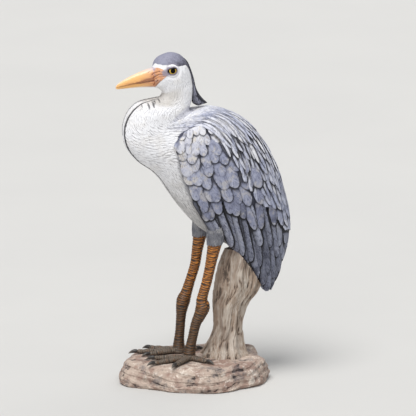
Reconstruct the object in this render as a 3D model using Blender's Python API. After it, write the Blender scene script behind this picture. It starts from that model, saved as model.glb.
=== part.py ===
"""Grey heron garden figure: a painted resin casting on a rock base, with a driftwood post under its tail.

Run with: blender --background --python part.py
Metres, +Z up. The bird faces -Y and its left side is +X. The origin is the middle of the base's underside.

The head, neck, trunk and tail are lengths of one loft, the "hull". Its rings stand across the side
outline, from the throat, breast and belly (front line) to the crown, nape and back (back line), so one
table of stations gives the whole side view. Feathers are pleated shells laid over the hull.
"""

import math

import bmesh
import bpy
from mathutils import Matrix, Vector

MM = 0.001
GAP = 0.0003

# Hull stations in mm: front line y, z; back line y, z; half width; egg (above 0 is fuller at the back line).
HULL = [
    (-72, 512.5, -76, 546.5, 11.6, -0.05),
    (-68, 510.5, -70, 560.5, 16.8, -0.10),
    (-65, 509, -57, 568.5, 20.5, -0.08),
    (-63, 508, -41, 571, 22.0, -0.05),
    (-61, 507, -24, 564, 22.5, 0.00),
    (-60, 505, -13, 546.5, 22.5, 0.00),
    (-59, 502, -7, 524.5, 22.0, 0.00),
    (-60, 499, -5, 506, 21.5, 0.00),
    (-64, 494, -7, 490.5, 23.0, 0.00),
    (-80, 491, -10, 479.5, 28.0, -0.05),
    (-101, 485, -11, 476, 35.0, -0.15),
    (-118, 467.5, -11.5, 474.5, 41.0, -0.20),
    (-126, 441, -11.5, 473, 44.0, -0.20),
    (-121, 411, -11, 472, 47.0, -0.15),
    (-103, 387, -8, 471.5, 50.0, -0.10),
    (-80, 370, 3, 472, 54.0, 0.00),
    (-63, 352, 25, 473, 58.0, 0.08),
    (-45, 325, 56, 463.5, 61.0, 0.12),
    (-21, 293, 92, 436.5, 61.0, 0.12),
    (5, 266, 121, 396, 56.0, 0.10),
    (35, 245.5, 142, 346, 47.0, 0.05),
    (68, 223.5, 153, 291.5, 36.0, 0.00),
    (92, 193.5, 153, 239.5, 22.0, 0.00),
    (109, 164, 143, 192, 11.0, 0.00),
    (119, 147.5, 127, 151, 4.0, 0.00),
]
BILL_CUT, NECK_CUT, TRUNK_CUT, TAIL_CUT, TAIL_END = 0.0, 6.4, 14.2, 20.6, 23.5
RING = 24

EYE = Vector((0.0145, -0.0445, 0.5435))
EYE_RADIUS = 0.0102
LEG_SPREAD = 0.027
PLATEAU = 0.040
SKIN = 0.0013
FLIGHT_DEEP = 0.0036

# Paints: base colour, roughness.
PAINT = {
    "white": ((0.78, 0.76, 0.73), 0.62),
    "crown": ((0.10, 0.095, 0.12), 0.60),
    "bill": ((0.80, 0.36, 0.10), 0.42),
    "eye": ((0.60, 0.45, 0.06), 0.08),
    "mantle": ((0.38, 0.38, 0.43), 0.62),
    "coverts": ((0.40, 0.39, 0.40), 0.62),
    "flight": ((0.13, 0.13, 0.17), 0.60),
    "thigh": ((0.35, 0.34, 0.32), 0.65),
    "shank": ((0.32, 0.15, 0.04), 0.45),
    "foot": ((0.10, 0.09, 0.09), 0.50),
    "claw": ((0.015, 0.013, 0.012), 0.30),
    "rock": ((0.34, 0.28, 0.25), 0.80),
    "driftwood": ((0.22, 0.17, 0.14), 0.75),
}


def start_scene():
    """Empties the scene and returns the collections for the figure and for its cutters."""
    for old in list(bpy.data.objects):
        bpy.data.objects.remove(old)
    figure = bpy.data.collections.new("grey_heron_figure")
    cutters = bpy.data.collections.new("cutters")
    for collection in (figure, cutters):
        bpy.context.scene.collection.children.link(collection)
    return figure, cutters


FIGURE, CUTTERS = start_scene()


def paint(name):
    """The material of that paint, made once."""
    found = bpy.data.materials.get(name)
    if found:
        return found
    colour, roughness = PAINT[name]
    made = bpy.data.materials.new(name)
    made.use_nodes = True
    made.diffuse_color = (*colour, 1.0)
    surface = made.node_tree.nodes["Principled BSDF"]
    surface.inputs["Base Color"].default_value = (*colour, 1.0)
    surface.inputs["Roughness"].default_value = roughness
    surface.inputs["Metallic"].default_value = 0.0
    return made


def add_object(name, bm, colour, smooth_deg=35.0):
    """Turns a bmesh into a named, painted object of the figure."""
    bmesh.ops.recalc_face_normals(bm, faces=bm.faces)
    mesh = bpy.data.meshes.new(name)
    bm.to_mesh(mesh)
    bm.free()
    mesh.shade_smooth()
    mesh.set_sharp_from_angle(angle=math.radians(smooth_deg))
    mesh.materials.append(paint(colour))
    made = bpy.data.objects.new(name, mesh)
    FIGURE.objects.link(made)
    return made


def make_cutter(source, grow=GAP):
    """A hidden copy of a solid, grown along its normals, to cut a neighbour back to the usual gap."""
    bpy.context.view_layer.update()
    graph = bpy.context.evaluated_depsgraph_get()
    mesh = bpy.data.meshes.new_from_object(source.evaluated_get(graph))
    normals = [vertex.normal.copy() for vertex in mesh.vertices]
    for vertex, normal in zip(mesh.vertices, normals):
        vertex.co += normal * grow
    made = bpy.data.objects.new(source.name + "_cutter", mesh)
    made.hide_render = True
    made.display_type = "WIRE"
    CUTTERS.objects.link(made)
    return made


def boolean(target, other, operation="DIFFERENCE"):
    """Adds an exact Boolean modifier to the target."""
    modifier = target.modifiers.new(operation.lower(), "BOOLEAN")
    modifier.operation = operation
    modifier.object = other
    modifier.solver = "EXACT"


def cut_back(target, *neighbours, grow=GAP):
    """Cuts the target back to a gap from each neighbour."""
    for neighbour in neighbours:
        boolean(target, make_cutter(neighbour, grow))


def join_shapes(name, shapes, colour):
    """One solid from several overlapping shapes, by Boolean union; the shapes are removed."""
    whole = shapes[0]
    for shape in shapes[1:]:
        boolean(whole, shape, "UNION")
    bpy.context.view_layer.update()
    graph = bpy.context.evaluated_depsgraph_get()
    mesh = bpy.data.meshes.new_from_object(whole.evaluated_get(graph))
    for shape in shapes:
        bpy.data.objects.remove(shape)
    bm = bmesh.new()
    bm.from_mesh(mesh)
    bpy.data.meshes.remove(mesh)
    return add_object(name, bm, colour)


def blend(a, b, t):
    return a + (b - a) * t


def ease(edge0, edge1, x):
    """0 before edge0, 1 after edge1, smooth between."""
    t = min(1.0, max(0.0, (x - edge0) / (edge1 - edge0)))
    return t * t * (3 - 2 * t)


def spline(rows, s):
    """Catmull-Rom through the rows of numbers, at station s."""
    last = len(rows) - 1
    s = min(max(s, 0.0), float(last))
    i = min(int(s), last - 1)
    t = s - i
    p0, p1, p2, p3 = (rows[min(max(i + k, 0), last)] for k in (-1, 0, 1, 2))
    return [
        0.5 * (2 * b + (c - a) * t + (2 * a - 5 * b + 4 * c - d) * t * t + (3 * b - a - 3 * c + d) * t**3)
        for a, b, c, d in zip(p0, p1, p2, p3)
    ]


def hull_point(s, angle, hang=0.0):
    """The hull at station s. Angle 0 is the back line, pi the front line, and pi / 2 the bird's left side.

    With hang above 0 the lower half drops straighter from the flanks, as the folded wings do.
    """
    fy, fz, by, bz, width, egg = spline(HULL, s)
    front, back = Vector((0, fy, fz)), Vector((0, by, bz))
    power = 0.92 - hang * ease(1.55, 2.55, abs(angle))
    across = math.copysign(abs(math.sin(angle)) ** power, math.sin(angle))
    along = math.cos(angle)
    middle = (front + back) / 2 + (back - front) / 2 * along
    return (middle + Vector((width * across * (1 + egg * along), 0, 0))) * MM


def over_hull(s, angle, height, hang=0.0):
    """A point at that height over the hull, along its normal."""
    step = 0.02
    along = hull_point(s + step, angle, hang) - hull_point(s - step, angle, hang)
    around = hull_point(s, angle + step, hang) - hull_point(s, angle - step, hang)
    return hull_point(s, angle, hang) + around.cross(along).normalized() * height


def loft(rings):
    """A closed bmesh through rings of equal count, with flat ends."""
    bm = bmesh.new()
    loops = [[bm.verts.new(point) for point in ring] for ring in rings]
    count = len(loops[0])
    for near, far in zip(loops, loops[1:]):
        for i in range(count):
            j = (i + 1) % count
            bm.faces.new((near[i], near[j], far[j], far[i]))
    bm.faces.new(reversed(loops[0]))
    bm.faces.new(loops[-1])
    return bm


def hull_ring(s, count=RING, shift=0.0, scale=1.0):
    """The ring of the hull at station s, shifted along the travel direction and scaled about its middle."""
    fy, fz, by, bz, _, _ = spline(HULL, s)
    line = Vector((0, by - fy, bz - fz)).normalized()
    travel = line.cross(Vector((1, 0, 0)))
    middle = Vector((0, (fy + by) / 2, (fz + bz) / 2)) * MM
    angles = (2 * math.pi * i / count for i in range(count))
    return [middle + (hull_point(s, a) - middle) * scale + travel * shift for a in angles]


def hull_length(name, start, end, colour, steps_per_station=2, scales=(1.0, 1.0)):
    """One length of the hull between two stations, held back by half a gap at each cut."""
    steps = max(2, round((end - start) * steps_per_station))
    rings = []
    for i in range(steps + 1):
        t = i / steps
        shift = GAP / 2 if i == 0 else -GAP / 2 if i == steps else 0.0
        rings.append(hull_ring(blend(start, end, t), shift=shift, scale=blend(*scales, t)))
    return add_object(name, loft(rings), colour)


def shell(outer, inner):
    """A closed shell between two grids of points, each grid[row][column]."""
    bm = bmesh.new()
    top = [[bm.verts.new(p) for p in row] for row in outer]
    low = [[bm.verts.new(p) for p in row] for row in inner]
    rows, columns = len(top), len(top[0])
    for r in range(rows - 1):
        for c in range(columns - 1):
            bm.faces.new((top[r][c], top[r][c + 1], top[r + 1][c + 1], top[r + 1][c]))
            bm.faces.new((low[r][c], low[r + 1][c], low[r + 1][c + 1], low[r][c + 1]))
    rim = [(0, c) for c in range(columns)]
    rim += [(r, columns - 1) for r in range(1, rows)]
    rim += [(rows - 1, c) for c in range(columns - 2, -1, -1)]
    rim += [(r, 0) for r in range(rows - 2, 0, -1)]
    for (r0, c0), (r1, c1) in zip(rim, rim[1:] + rim[:1]):
        bm.faces.new((top[r0][c0], low[r0][c0], low[r1][c1], top[r1][c1]))
    return bm


def pleats(count, low, high):
    """Columns of a pleated shell: (place across 0..1, height, how near the middle of its feather 0..1)."""
    columns = []
    for k in range(count):
        for inside, height, middle in ((0.05, low, 0.0), (0.5, blend(low, high, 0.75), 1.0), (0.95, high, 0.0)):
            columns.append(((k + inside) / count, height, middle))
    return columns


def feather_shell(name, colour, columns, rows, place, floor, side=1, hang=0.0, steps=0.0):
    """A pleated shell over the hull.

    place(u, v, middle) gives the station and angle, floor(station) the height of its underside. Side is -1
    for the bird's right. With steps above 0, each pair of rows is one overlapping row of feathers.
    """
    outer, inner = [], []
    for r in range(rows + 1):
        u = r / rows
        top_row, low_row = [], []
        for v, height, middle in columns:
            s, angle = place(u, v, middle)
            under = floor(s)
            step = steps * (0.5 if r % 2 else -0.5)
            top_row.append(over_hull(s, side * angle, under + height * (1 - 0.35 * u) + step, hang))
            low_row.append(over_hull(s, side * angle, under, hang))
        outer.append(top_row)
        inner.append(low_row)
    return add_object(name, shell(outer, inner), colour, 25)


def over_flight(s):
    """How high over the hull the upper feathers lie: on the skin at the shoulder, on the flight feathers behind."""
    return blend(SKIN, SKIN + FLIGHT_DEEP, ease(15.6, 17.0, s))


def mantle_edge(s):
    """How far down each side, in radians, the mantle reaches at a station."""
    return spline([(0.75,), (0.88,), (0.95,), (1.08,), (1.30,), (1.40,), (1.28,), (1.00,), (0.65,), (0.35,)], s - 14)[0]


def wing_edge(s):
    """How far down each side, in radians, the folded wing reaches at a station."""
    return spline([(1.05,), (1.78,), (2.11,), (2.34,), (2.48,), (2.60,), (2.70,), (2.76,), (2.78,), (2.80,)], s - 14)[0]


def make_body():
    """Head, neck, trunk and tail, each a length of the hull."""
    head = hull_length("head", BILL_CUT, NECK_CUT, "white", 1.6)
    hull_length("neck", NECK_CUT, TRUNK_CUT, "white", 1.5)
    trunk = hull_length("trunk", TRUNK_CUT, TAIL_CUT, "white", 1.5)
    tail = hull_length("tail", TAIL_CUT, TAIL_END, "flight", 2.1, scales=(0.90, 0.66))
    return head, trunk, tail


def make_mantle():
    """The long back plumes, from the shoulders over the back and both flanks."""

    def place(u, v, middle):
        side = 2 * v - 1
        reach = 22.4 - 2.2 * abs(side) ** 1.3 + 0.25 * middle
        s = blend(14.7 + 0.2 * side * side, reach, u)
        return s, side * mantle_edge(s)

    half = pleats(4, 0.0030, 0.0062)
    right = [((1 - v) / 2, h, m) for v, h, m in reversed(half)]
    left = [((1 + v) / 2, h, m) for v, h, m in half]
    return feather_shell("mantle", "mantle", right + left, 11, place, over_flight)


def make_wing(side, label):
    """The shield of small coverts, from the bend of the wing to the flight feathers."""

    def place(u, v, middle):
        s = blend(14.15, 20.5 - 1.75 * v, u) + 0.14 * middle * u
        return s, blend(mantle_edge(s) + 0.04, wing_edge(s), v)

    columns = pleats(5, 0.0045, 0.0055)
    return feather_shell("wing_" + label, "coverts", columns, 10, place, over_flight, side, 0.42, 0.0016)


def make_flight(side, label):
    """The folded secondaries and primaries: long feathers that end one after another along the lower edge."""

    def place(u, v, middle):
        reach = 23.9 - 3.9 * v**1.1
        s = blend(17.2, reach + 0.22 * middle - 0.15, u)
        left_at = min(1.0, (max(0.02, 23.9 - s) / 3.9) ** (1 / 1.1))
        lean = blend(v, min(1.0, v / left_at), 0.8)
        low = wing_edge(s) - 0.04 + 0.08 * ease(18.2, 19.2, s)
        return s, blend(mantle_edge(s) * 0.72, low, lean)

    columns = pleats(6, 0.0012, 0.0030)
    return feather_shell("flight_" + label, "flight", columns, 9, place, lambda s: SKIN, side, 0.42)


def upright_loft(stations, count=10, turn=0.0):
    """A loft through (x, y, z, radius across x, radius across y) stations in mm, its rings level."""
    rings = []
    for x, y, z, rx, ry in stations:
        angles = (2 * math.pi * k / count + turn for k in range(count))
        rings.append([Vector((x + rx * math.cos(a), y + ry * math.sin(a), z)) * MM for a in angles])
    return loft(rings)


def tube(points, radii, count=8, flat=1.0):
    """A tapered loft along points; flat squashes it upright."""
    rings = []
    for i, point in enumerate(points):
        ahead = (points[min(i + 1, len(points) - 1)] - points[max(i - 1, 0)]).normalized()
        across = ahead.cross(Vector((0, 0, 1))).normalized()
        up = across.cross(ahead)
        angles = (2 * math.pi * k / count for k in range(count))
        rings.append([point + (across * math.cos(a) + up * math.sin(a) * flat) * radii[i] for a in angles])
    return loft(rings)


# Bill stations in mm: y, z of the mouth line; z of the top and of the underside; half widths above and below.
BILL = [
    (-75.0, 527.5, 546.5, 512.0, 11.0, 9.8),
    (-88.0, 524.5, 543.8, 512.3, 9.4, 8.2),
    (-101.0, 522.0, 538.8, 512.5, 7.6, 6.6),
    (-114.0, 519.6, 533.2, 512.0, 5.8, 5.0),
    (-126.0, 517.2, 526.5, 511.4, 3.9, 3.4),
    (-134.0, 515.4, 520.5, 511.2, 2.3, 2.0),
    (-138.5, 514.2, 516.2, 511.6, 0.9, 0.8),
]


def make_bill(upper):
    """Half the bill, from the head's front face to the tip, closed along the mouth line."""
    rings = []
    fy, fz, by, bz, _, _ = HULL[0]
    for index, (y, mouth, top, under, wide, narrow) in enumerate(BILL):
        edge = top if upper else under
        half = wide if upper else narrow
        level = mouth + (GAP / MM / 2 if upper else -GAP / MM / 2)
        ring = []
        for k in range(7):
            a = math.pi * k / 6
            z = level + (edge - level) * math.sin(a) ** 0.8
            back = (z - fz) / (bz - fz) * (by - fy) + fy - GAP / MM if index == 0 else y
            ring.append(Vector((half * math.cos(a), back, z)) * MM)
        rings.append(ring)
    return add_object("bill_upper" if upper else "bill_lower", loft(rings), "bill", 40)


def make_eye(side, label):
    """A glass-like ball set in the side of the head."""
    bm = bmesh.new()
    bmesh.ops.create_uvsphere(bm, u_segments=12, v_segments=8, radius=EYE_RADIUS)
    bmesh.ops.rotate(bm, verts=bm.verts, cent=(0, 0, 0), matrix=Matrix.Rotation(math.pi / 2, 3, "Y"))
    bmesh.ops.translate(bm, verts=bm.verts, vec=(side * EYE.x, EYE.y, EYE.z))
    return add_object("eye_" + label, bm, "eye")


# Crest stations in mm: inner y, z against the nape; outer y, z; half width.
CREST = [
    (-13.6, 548.5, -12.4, 549.8, 2.5),
    (-8.8, 535.5, -7.2, 536.3, 4.5),
    (-5.8, 522.0, -3.6, 522.4, 6.0),
    (-4.3, 507.0, 0.2, 507.6, 7.5),
    (-4.6, 493.0, 6.0, 496.0, 8.0),
    (-3.0, 485.5, 12.5, 489.0, 6.0),
    (5.0, 481.8, 17.0, 484.0, 3.0),
]


def make_crest():
    """The dark plumes from the back of the crown, lying down the nape and ending in a free wedge."""
    rings = []
    for y0, z0, y1, z1, half in CREST:
        ring = []
        for across, out in ((-1.0, 0.0), (0.0, 0.0), (1.0, 0.0), (0.85, 0.6), (0.45, 0.9), (0, 1), (-0.45, 0.9), (-0.85, 0.6)):
            ring.append(Vector((half * across, blend(y0, y1, out), blend(z0, z1, out))) * MM)
        rings.append(ring)
    return add_object("crest", loft(rings), "crown", 40)


# Leg stations in mm from the thigh to the foot: y, z, radius.
LEGS = {
    "left": [
        (27, 243, 12.3), (20.5, 210, 9.4), (13.3, 177, 8.7), (7, 155, 8.7), (4.5, 143, 9.8), (6, 132, 12.4),
        (1, 118, 10.4), (-6, 103, 8.6), (-12, 78, 8.2), (-15.5, 62, 9.0), (-17, 51.5, 10.5),
    ],
    "right": [
        (12.7, 247, 11.8), (8, 220, 9.4), (4, 194, 8.7), (-4, 168, 8.6), (-11, 146, 9.6), (-16, 133, 12.0),
        (-19, 119, 10.2), (-20.5, 104, 8.4), (-22.5, 78, 8.1), (-24, 62, 9.0), (-24.5, 51.5, 10.5),
    ],
}
# Toes: heading in degrees from straight ahead towards the bird's own side, length in mm.
TOES = {
    "left": [(19, 66), (52, 50), (-12, 56), (128, 36)],
    "right": [(6, 68), (36, 50), (-14, 52), (165, 30)],
}


def make_leg(side, label):
    """One leg, its foot with four toes, and their claws."""
    rows = LEGS[label]
    top, low = rows[0], rows[-1]
    leg = add_object("leg_" + label, upright_loft([(side * LEG_SPREAD / MM, y, z, r, r) for y, z, r in rows], 10), "shank")
    heel = Vector((side * LEG_SPREAD, low[0] * MM, PLATEAU))
    sole = GAP
    x, y = heel.x / MM, low[0]
    floor = (PLATEAU + sole) / MM
    hub = upright_loft([(x, y, floor, 9.5, 9.5), (x, y, floor + 3, 11.5, 11.5), (x, y, low[1] - GAP / MM, 10.0, 10.0)], 10)
    shapes = [add_object("hub", hub, "foot")]
    for number, (heading, length) in enumerate(TOES[label]):
        turn = math.radians(heading)
        ahead = Vector((side * math.sin(turn), -math.cos(turn), 0))
        points, radii = [], []
        for k in range(5):
            t = k / 4
            radius = blend(0.0068, 0.0050, t) * (1.10 if k in (1, 3) else 1.0)
            points.append(heel + ahead * (0.003 + length * MM * t) + Vector((0, 0, sole + radius * 0.75)))
            radii.append(radius)
        shapes.append(add_object("toe", tube(points, radii, 7, 0.75), "foot"))
        start = heel + ahead * (0.003 + length * MM + 3 * GAP)
        claw = [
            start + ahead * out * MM + Vector((0, 0, sole + up * MM))
            for out, up in ((0, 4.4), (5, 4.6), (10, 3.2), (14.5, 0.8))
        ]
        add_object(f"claw_{label}_{number + 1}", tube(claw, [0.0036, 0.0032, 0.0020, 0.0006], 6), "claw")
    join_shapes("foot_" + label, shapes, "foot")
    y, z, radius = top
    thigh_rows = [
        (side * LEG_SPREAD / MM, y + lean, z + up, r, r)
        for lean, up, r in ((0, GAP / MM, radius + 1.5), (1.5, 12, radius + 3.0), (6, 34, radius + 5.0), (12, 60, radius + 4.0))
    ]
    thigh = add_object("thigh_" + label, upright_loft(thigh_rows, 12), "thigh")
    return leg, thigh


def rock_height(x, y):
    """Height of the rock's top above the plateau in mm: mounds behind, level under the feet and the post."""
    mounds = ((-34, 104, 26, 30, 17), (48, 98, 26, 26, 12), (-84, 62, 18, 30, 13), (88, 66, 14, 26, 8))
    rise = sum(high * math.exp(-(((x - cx) / wx) ** 2) - ((y - cy) / wy) ** 2) for cx, cy, wx, wy, high in mounds)
    return rise * ease(25, 60, y) * ease(60, 80, math.hypot(x, y - 50))


def make_base():
    """The rock: a low rounded block with flowing ridges round its side and a level place for the feet."""
    count = 28
    profile = [
        (0.97, 0.0), (1.0, 5.0), (0.985, 14.0), (0.95, 24.0), (0.91, 33.0), (0.86, 38.5), (0.76, 40.0), (0.60, 40.0),
        (0.42, 40.0), (0.22, 40.0),
    ]
    rings = []
    for scale, z in profile:
        ring = []
        for k in range(count):
            a = 2 * math.pi * k / count
            lobes = 1 + 0.045 * math.sin(3 * a + 0.6) + 0.03 * math.sin(5 * a + 2.0) + 0.018 * math.sin(9 * a + z * 0.08)
            x, y = 104 * lobes * scale * math.cos(a), 129 * lobes * scale * math.sin(a)
            rise = rock_height(x, y) * ease(10, 38, z) if scale > 0.5 else 0.0
            ring.append(Vector((x, y, z + rise)) * MM)
        rings.append(ring)
    return add_object("base", loft(rings), "rock", 50)


def make_stump():
    """The driftwood post: flared and ridged at its foot, leaning back to meet the underside of the tail."""
    stations = [
        (0, 50, 40.3, 38, 40), (0, 50, 48, 34, 35), (0, 51, 62, 28, 29), (0, 54, 83, 25, 24), (0, 55, 105, 25, 25),
        (0, 58, 127, 26, 29), (0, 67, 150, 28, 36), (0, 74, 172, 29, 38), (0, 79, 205, 28, 34), (0, 84, 232, 24, 28),
    ]
    count = 20
    rings = []
    for i, (x, y, z, rx, ry) in enumerate(stations):
        ring = []
        for k in range(count):
            a = 2 * math.pi * k / count
            grain = 1 + 0.07 * math.sin(5 * a + z * 0.012) + 0.06 * math.sin(8 * a - z * 0.02) * (1.3 - i * 0.08)
            ring.append(Vector((x + rx * grain * math.cos(a), y + ry * grain * math.sin(a), z)) * MM)
        rings.append(ring)
    return add_object("stump", loft(rings), "driftwood", 50)


def main():
    head, trunk, tail = make_body()
    for side, label in ((1, "left"), (-1, "right")):
        cut_back(head, make_eye(side, label))
    make_bill(True)
    make_bill(False)
    make_crest()
    make_mantle()
    make_base()
    stump = make_stump()
    cut_back(stump, trunk, tail, grow=2 * GAP)
    for side, label in ((1, "left"), (-1, "right")):
        wing, flight = make_wing(side, label), make_flight(side, label)
        leg, thigh = make_leg(side, label)
        cut_back(thigh, trunk, wing, flight, grow=3 * GAP)
        cut_back(stump, flight, grow=4 * GAP)


main()
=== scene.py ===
import math

import bpy
import numpy as np
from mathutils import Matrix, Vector


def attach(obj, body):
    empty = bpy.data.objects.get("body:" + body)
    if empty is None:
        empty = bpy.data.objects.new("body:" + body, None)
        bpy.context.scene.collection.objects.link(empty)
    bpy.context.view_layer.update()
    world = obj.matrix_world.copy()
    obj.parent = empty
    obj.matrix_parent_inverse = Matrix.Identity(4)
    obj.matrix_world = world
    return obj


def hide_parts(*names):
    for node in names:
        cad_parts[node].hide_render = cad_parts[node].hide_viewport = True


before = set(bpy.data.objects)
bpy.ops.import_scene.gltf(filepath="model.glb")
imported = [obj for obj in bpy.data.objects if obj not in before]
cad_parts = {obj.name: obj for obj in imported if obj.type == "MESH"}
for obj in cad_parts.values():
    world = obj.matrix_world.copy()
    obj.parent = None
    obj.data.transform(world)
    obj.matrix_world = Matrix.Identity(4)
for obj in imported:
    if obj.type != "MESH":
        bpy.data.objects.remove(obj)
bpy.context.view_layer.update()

sides = {1: "Left", -1: "Right"}
print("frame loaded:", len(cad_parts), "solids")


def ease(low, high, x):  # smooth step, 0 at low to 1 at high
    t = np.clip((np.asarray(x, float) - low) / (high - low), 0, 1)
    return t * t * (3 - 2 * t)


def mix(a, b, t):
    return a + (b - a) * t


def bump(x, middle, width):  # a soft hill, 1 at the middle
    return np.exp(-(((np.asarray(x, float) - middle) / width) ** 2))


def smoothRows(rows, s):  # a smooth curve through rows of numbers, read at s
    rows = np.asarray(rows, float)
    s = np.clip(np.asarray(s, float), 0, len(rows) - 1)
    i = np.minimum(s.astype(int), len(rows) - 2)
    t = (s - i)[..., None]
    a, b, c, d = (rows[np.clip(i + k, 0, len(rows) - 1)] for k in (-1, 0, 1, 2))
    bend, twist = 2 * a - 5 * b + 4 * c - d, 3 * b - a - 3 * c + d
    return 0.5 * (2 * b + (c - a) * t + bend * t**2 + twist * t**3)


def along(rows, t):  # the same curve, read at t from 0 to 1
    return smoothRows(rows, np.asarray(t) * (len(rows) - 1))


def parts(rows):  # one array for each number of the rows
    return np.moveaxis(rows, -1, 0)


def lineAt(rows, x):  # straight lines through rows of two numbers, read at x
    return np.interp(x, *zip(*rows))


def lengthOf(vectors):
    return np.linalg.norm(vectors, axis=-1)


def unit(vectors):
    return vectors / np.maximum(lengthOf(vectors), 1e-12)[..., None]


def runAlong(points):  # how far along a line each of its points is
    return np.concatenate([[0], np.cumsum(lengthOf(np.diff(points, axis=0)))])


def wholeTurn(count):
    return np.linspace(0, 2 * np.pi, count, endpoint=False)


def halfTurn(angle):  # the same angle between -pi and pi
    return np.arctan2(np.sin(angle), np.cos(angle))


def cloud(p, size, seed=0):  # smooth noise about -1..1 at points p, in lumps of that size
    p = np.asarray(p, float) / size + seed * 17.31
    i = np.floor(p).astype(np.int64)
    f = p - i
    f = f * f * (3 - 2 * f)
    total = 0
    for corner in range(8):
        o = np.array([corner & 1, corner >> 1 & 1, corner >> 2 & 1])
        x, y, z = parts(i + o)
        h = (x * 73856093) ^ (y * 19349663) ^ (z * 83492791) ^ (seed * 2654435761)
        h = (h ^ (h >> 13)) * 1274126177 & 0x7FFFFFFF
        h = (h ^ (h >> 16)) & 0xFFFF
        total = total + h / 32767.5 * np.prod(np.where(o, f, 1 - f), axis=-1)
    return total - 1


# shader maths written as Python
class Wire:  # one socket of a material, with the usual operators
    def __init__(self, paint, socket):
        self.paint, self.socket, self.kind = paint, socket, socket.type

    def joined(self, other, how, swap=False):
        a, b = (other, self) if swap else (self, other)
        kinds = [w.kind for w in (a, b) if isinstance(w, Wire)]
        if "VECTOR" in kinds:
            return self.paint.node("VectorMath", {"operation": how}, {0: a, 1: b})
        if "RGBA" in kinds:
            return self.paint.blend(a, b, 1.0, how)
        return self.paint.node("Math", {"operation": how}, {0: a, 1: b})

    def __add__(self, other): return self.joined(other, "ADD")
    def __radd__(self, other): return self.joined(other, "ADD", True)
    def __sub__(self, other): return self.joined(other, "SUBTRACT")
    def __rsub__(self, other): return self.joined(other, "SUBTRACT", True)
    def __mul__(self, other): return self.joined(other, "MULTIPLY")
    def __rmul__(self, other): return self.joined(other, "MULTIPLY", True)
    def __truediv__(self, other): return self.joined(other, "DIVIDE")
    def __rtruediv__(self, other): return self.joined(other, "DIVIDE", True)
    def __neg__(self): return self * -1.0
    def __abs__(self): return self.paint.node("Math", {"operation": "ABSOLUTE"}, {0: self})

    def sine(self): return self.paint.node("Math", {"operation": "SINE"}, {0: self})
    def clamp(self): return self.paint.node("Clamp", {}, {0: self})
    def part(self, axis): return self.paint.node("SeparateXYZ", {}, {0: self}, axis)

    def ramp(self, low, high):  # smooth step, 0 at low to 1 at high
        return self.paint.node("MapRange", {"interpolation_type": "SMOOTHSTEP"}, {0: self, 1: low, 2: high})


class Paint:  # a material whose nodes are written as expressions, with the tones of its look
    def __init__(self, name, look):
        self.material = bpy.data.materials.new(name)
        self.material.use_nodes = True
        self.tree = self.material.node_tree
        self.surface = self.tree.nodes["Principled BSDF"]
        self.look, self.color = look, None

    def node(self, kind, settings, sockets, out=0):
        made = self.tree.nodes.new("ShaderNode" + kind)
        for key, value in settings.items():
            if key == "stops":
                for n, (place, colour) in enumerate(value):
                    stop = made.color_ramp.elements[n] if n < 2 else made.color_ramp.elements.new(place)
                    stop.position, stop.color = place, (*colour, 1)
            else:
                setattr(made, key, value)
        for key, value in sockets.items():
            self.feed(made.inputs[key], value)
        return Wire(self, made.outputs[out])

    def feed(self, socket, value):
        if isinstance(value, Wire):
            self.tree.links.new(value.socket, socket)
        elif socket.type == "RGBA":
            socket.default_value = (*value, 1) if isinstance(value, tuple) else (value, value, value, 1)
        elif socket.type == "VECTOR" and not isinstance(value, tuple):
            socket.default_value = (value, value, value)
        else:
            socket.default_value = value

    def place(self):
        return self.node("TexCoord", {}, {}, "Object")

    def fact(self, name):  # a number kept on the mesh
        return self.node("Attribute", {"attribute_name": name}, {}, "Fac")

    def facts(self, *names):
        return [self.fact(name) for name in names]

    def noise(self, size, detail=3.0, rough=0.55, stretch=(1, 1, 1), warp=0.0, at=None):
        where = (at or self.place()) * tuple(k / size for k in stretch)
        sockets = {"Vector": where, "Scale": 1.0, "Detail": detail, "Roughness": rough, "Distortion": warp}
        return self.node("TexNoise", {}, sockets, "Fac")

    def blend(self, a, b, share, how="MIX"):  # two colours, each a wire, a tone or a tone's name
        a, b = (self.look[tone] if isinstance(tone, str) else tone for tone in (a, b))
        return self.node("Mix", {"data_type": "RGBA", "blend_type": how}, {0: share, 6: a, 7: b}, 2)

    def start(self, a, b, share):
        self.color = self.blend(a, b, share)

    def over(self, tone, share):  # another colour over the colour so far
        self.color = self.blend(self.color, tone, share)

    def relief(self, height, distance):
        return self.node("Bump", {}, {"Height": height, "Distance": distance, "Strength": 1.0}, "Normal")

    def finish(self, **sockets):
        names = {"color": "Base Color", "rough": "Roughness", "normal": "Normal", "coat": "Coat Weight",
                 "specular": "Specular IOR Level", "coatRough": "Coat Roughness"}
        for key, value in {"color": self.color, **sockets}.items():
            self.feed(self.surface.inputs[names[key]], value)
        return self.material


def srgb(r, g, b):  # a colour as a paint chart gives it, 0..255
    def channel(c):
        c /= 255
        return c / 12.92 if c <= 0.04045 else ((c + 0.055) / 1.055) ** 2.4
    return tuple(channel(c) for c in (r, g, b))


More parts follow.
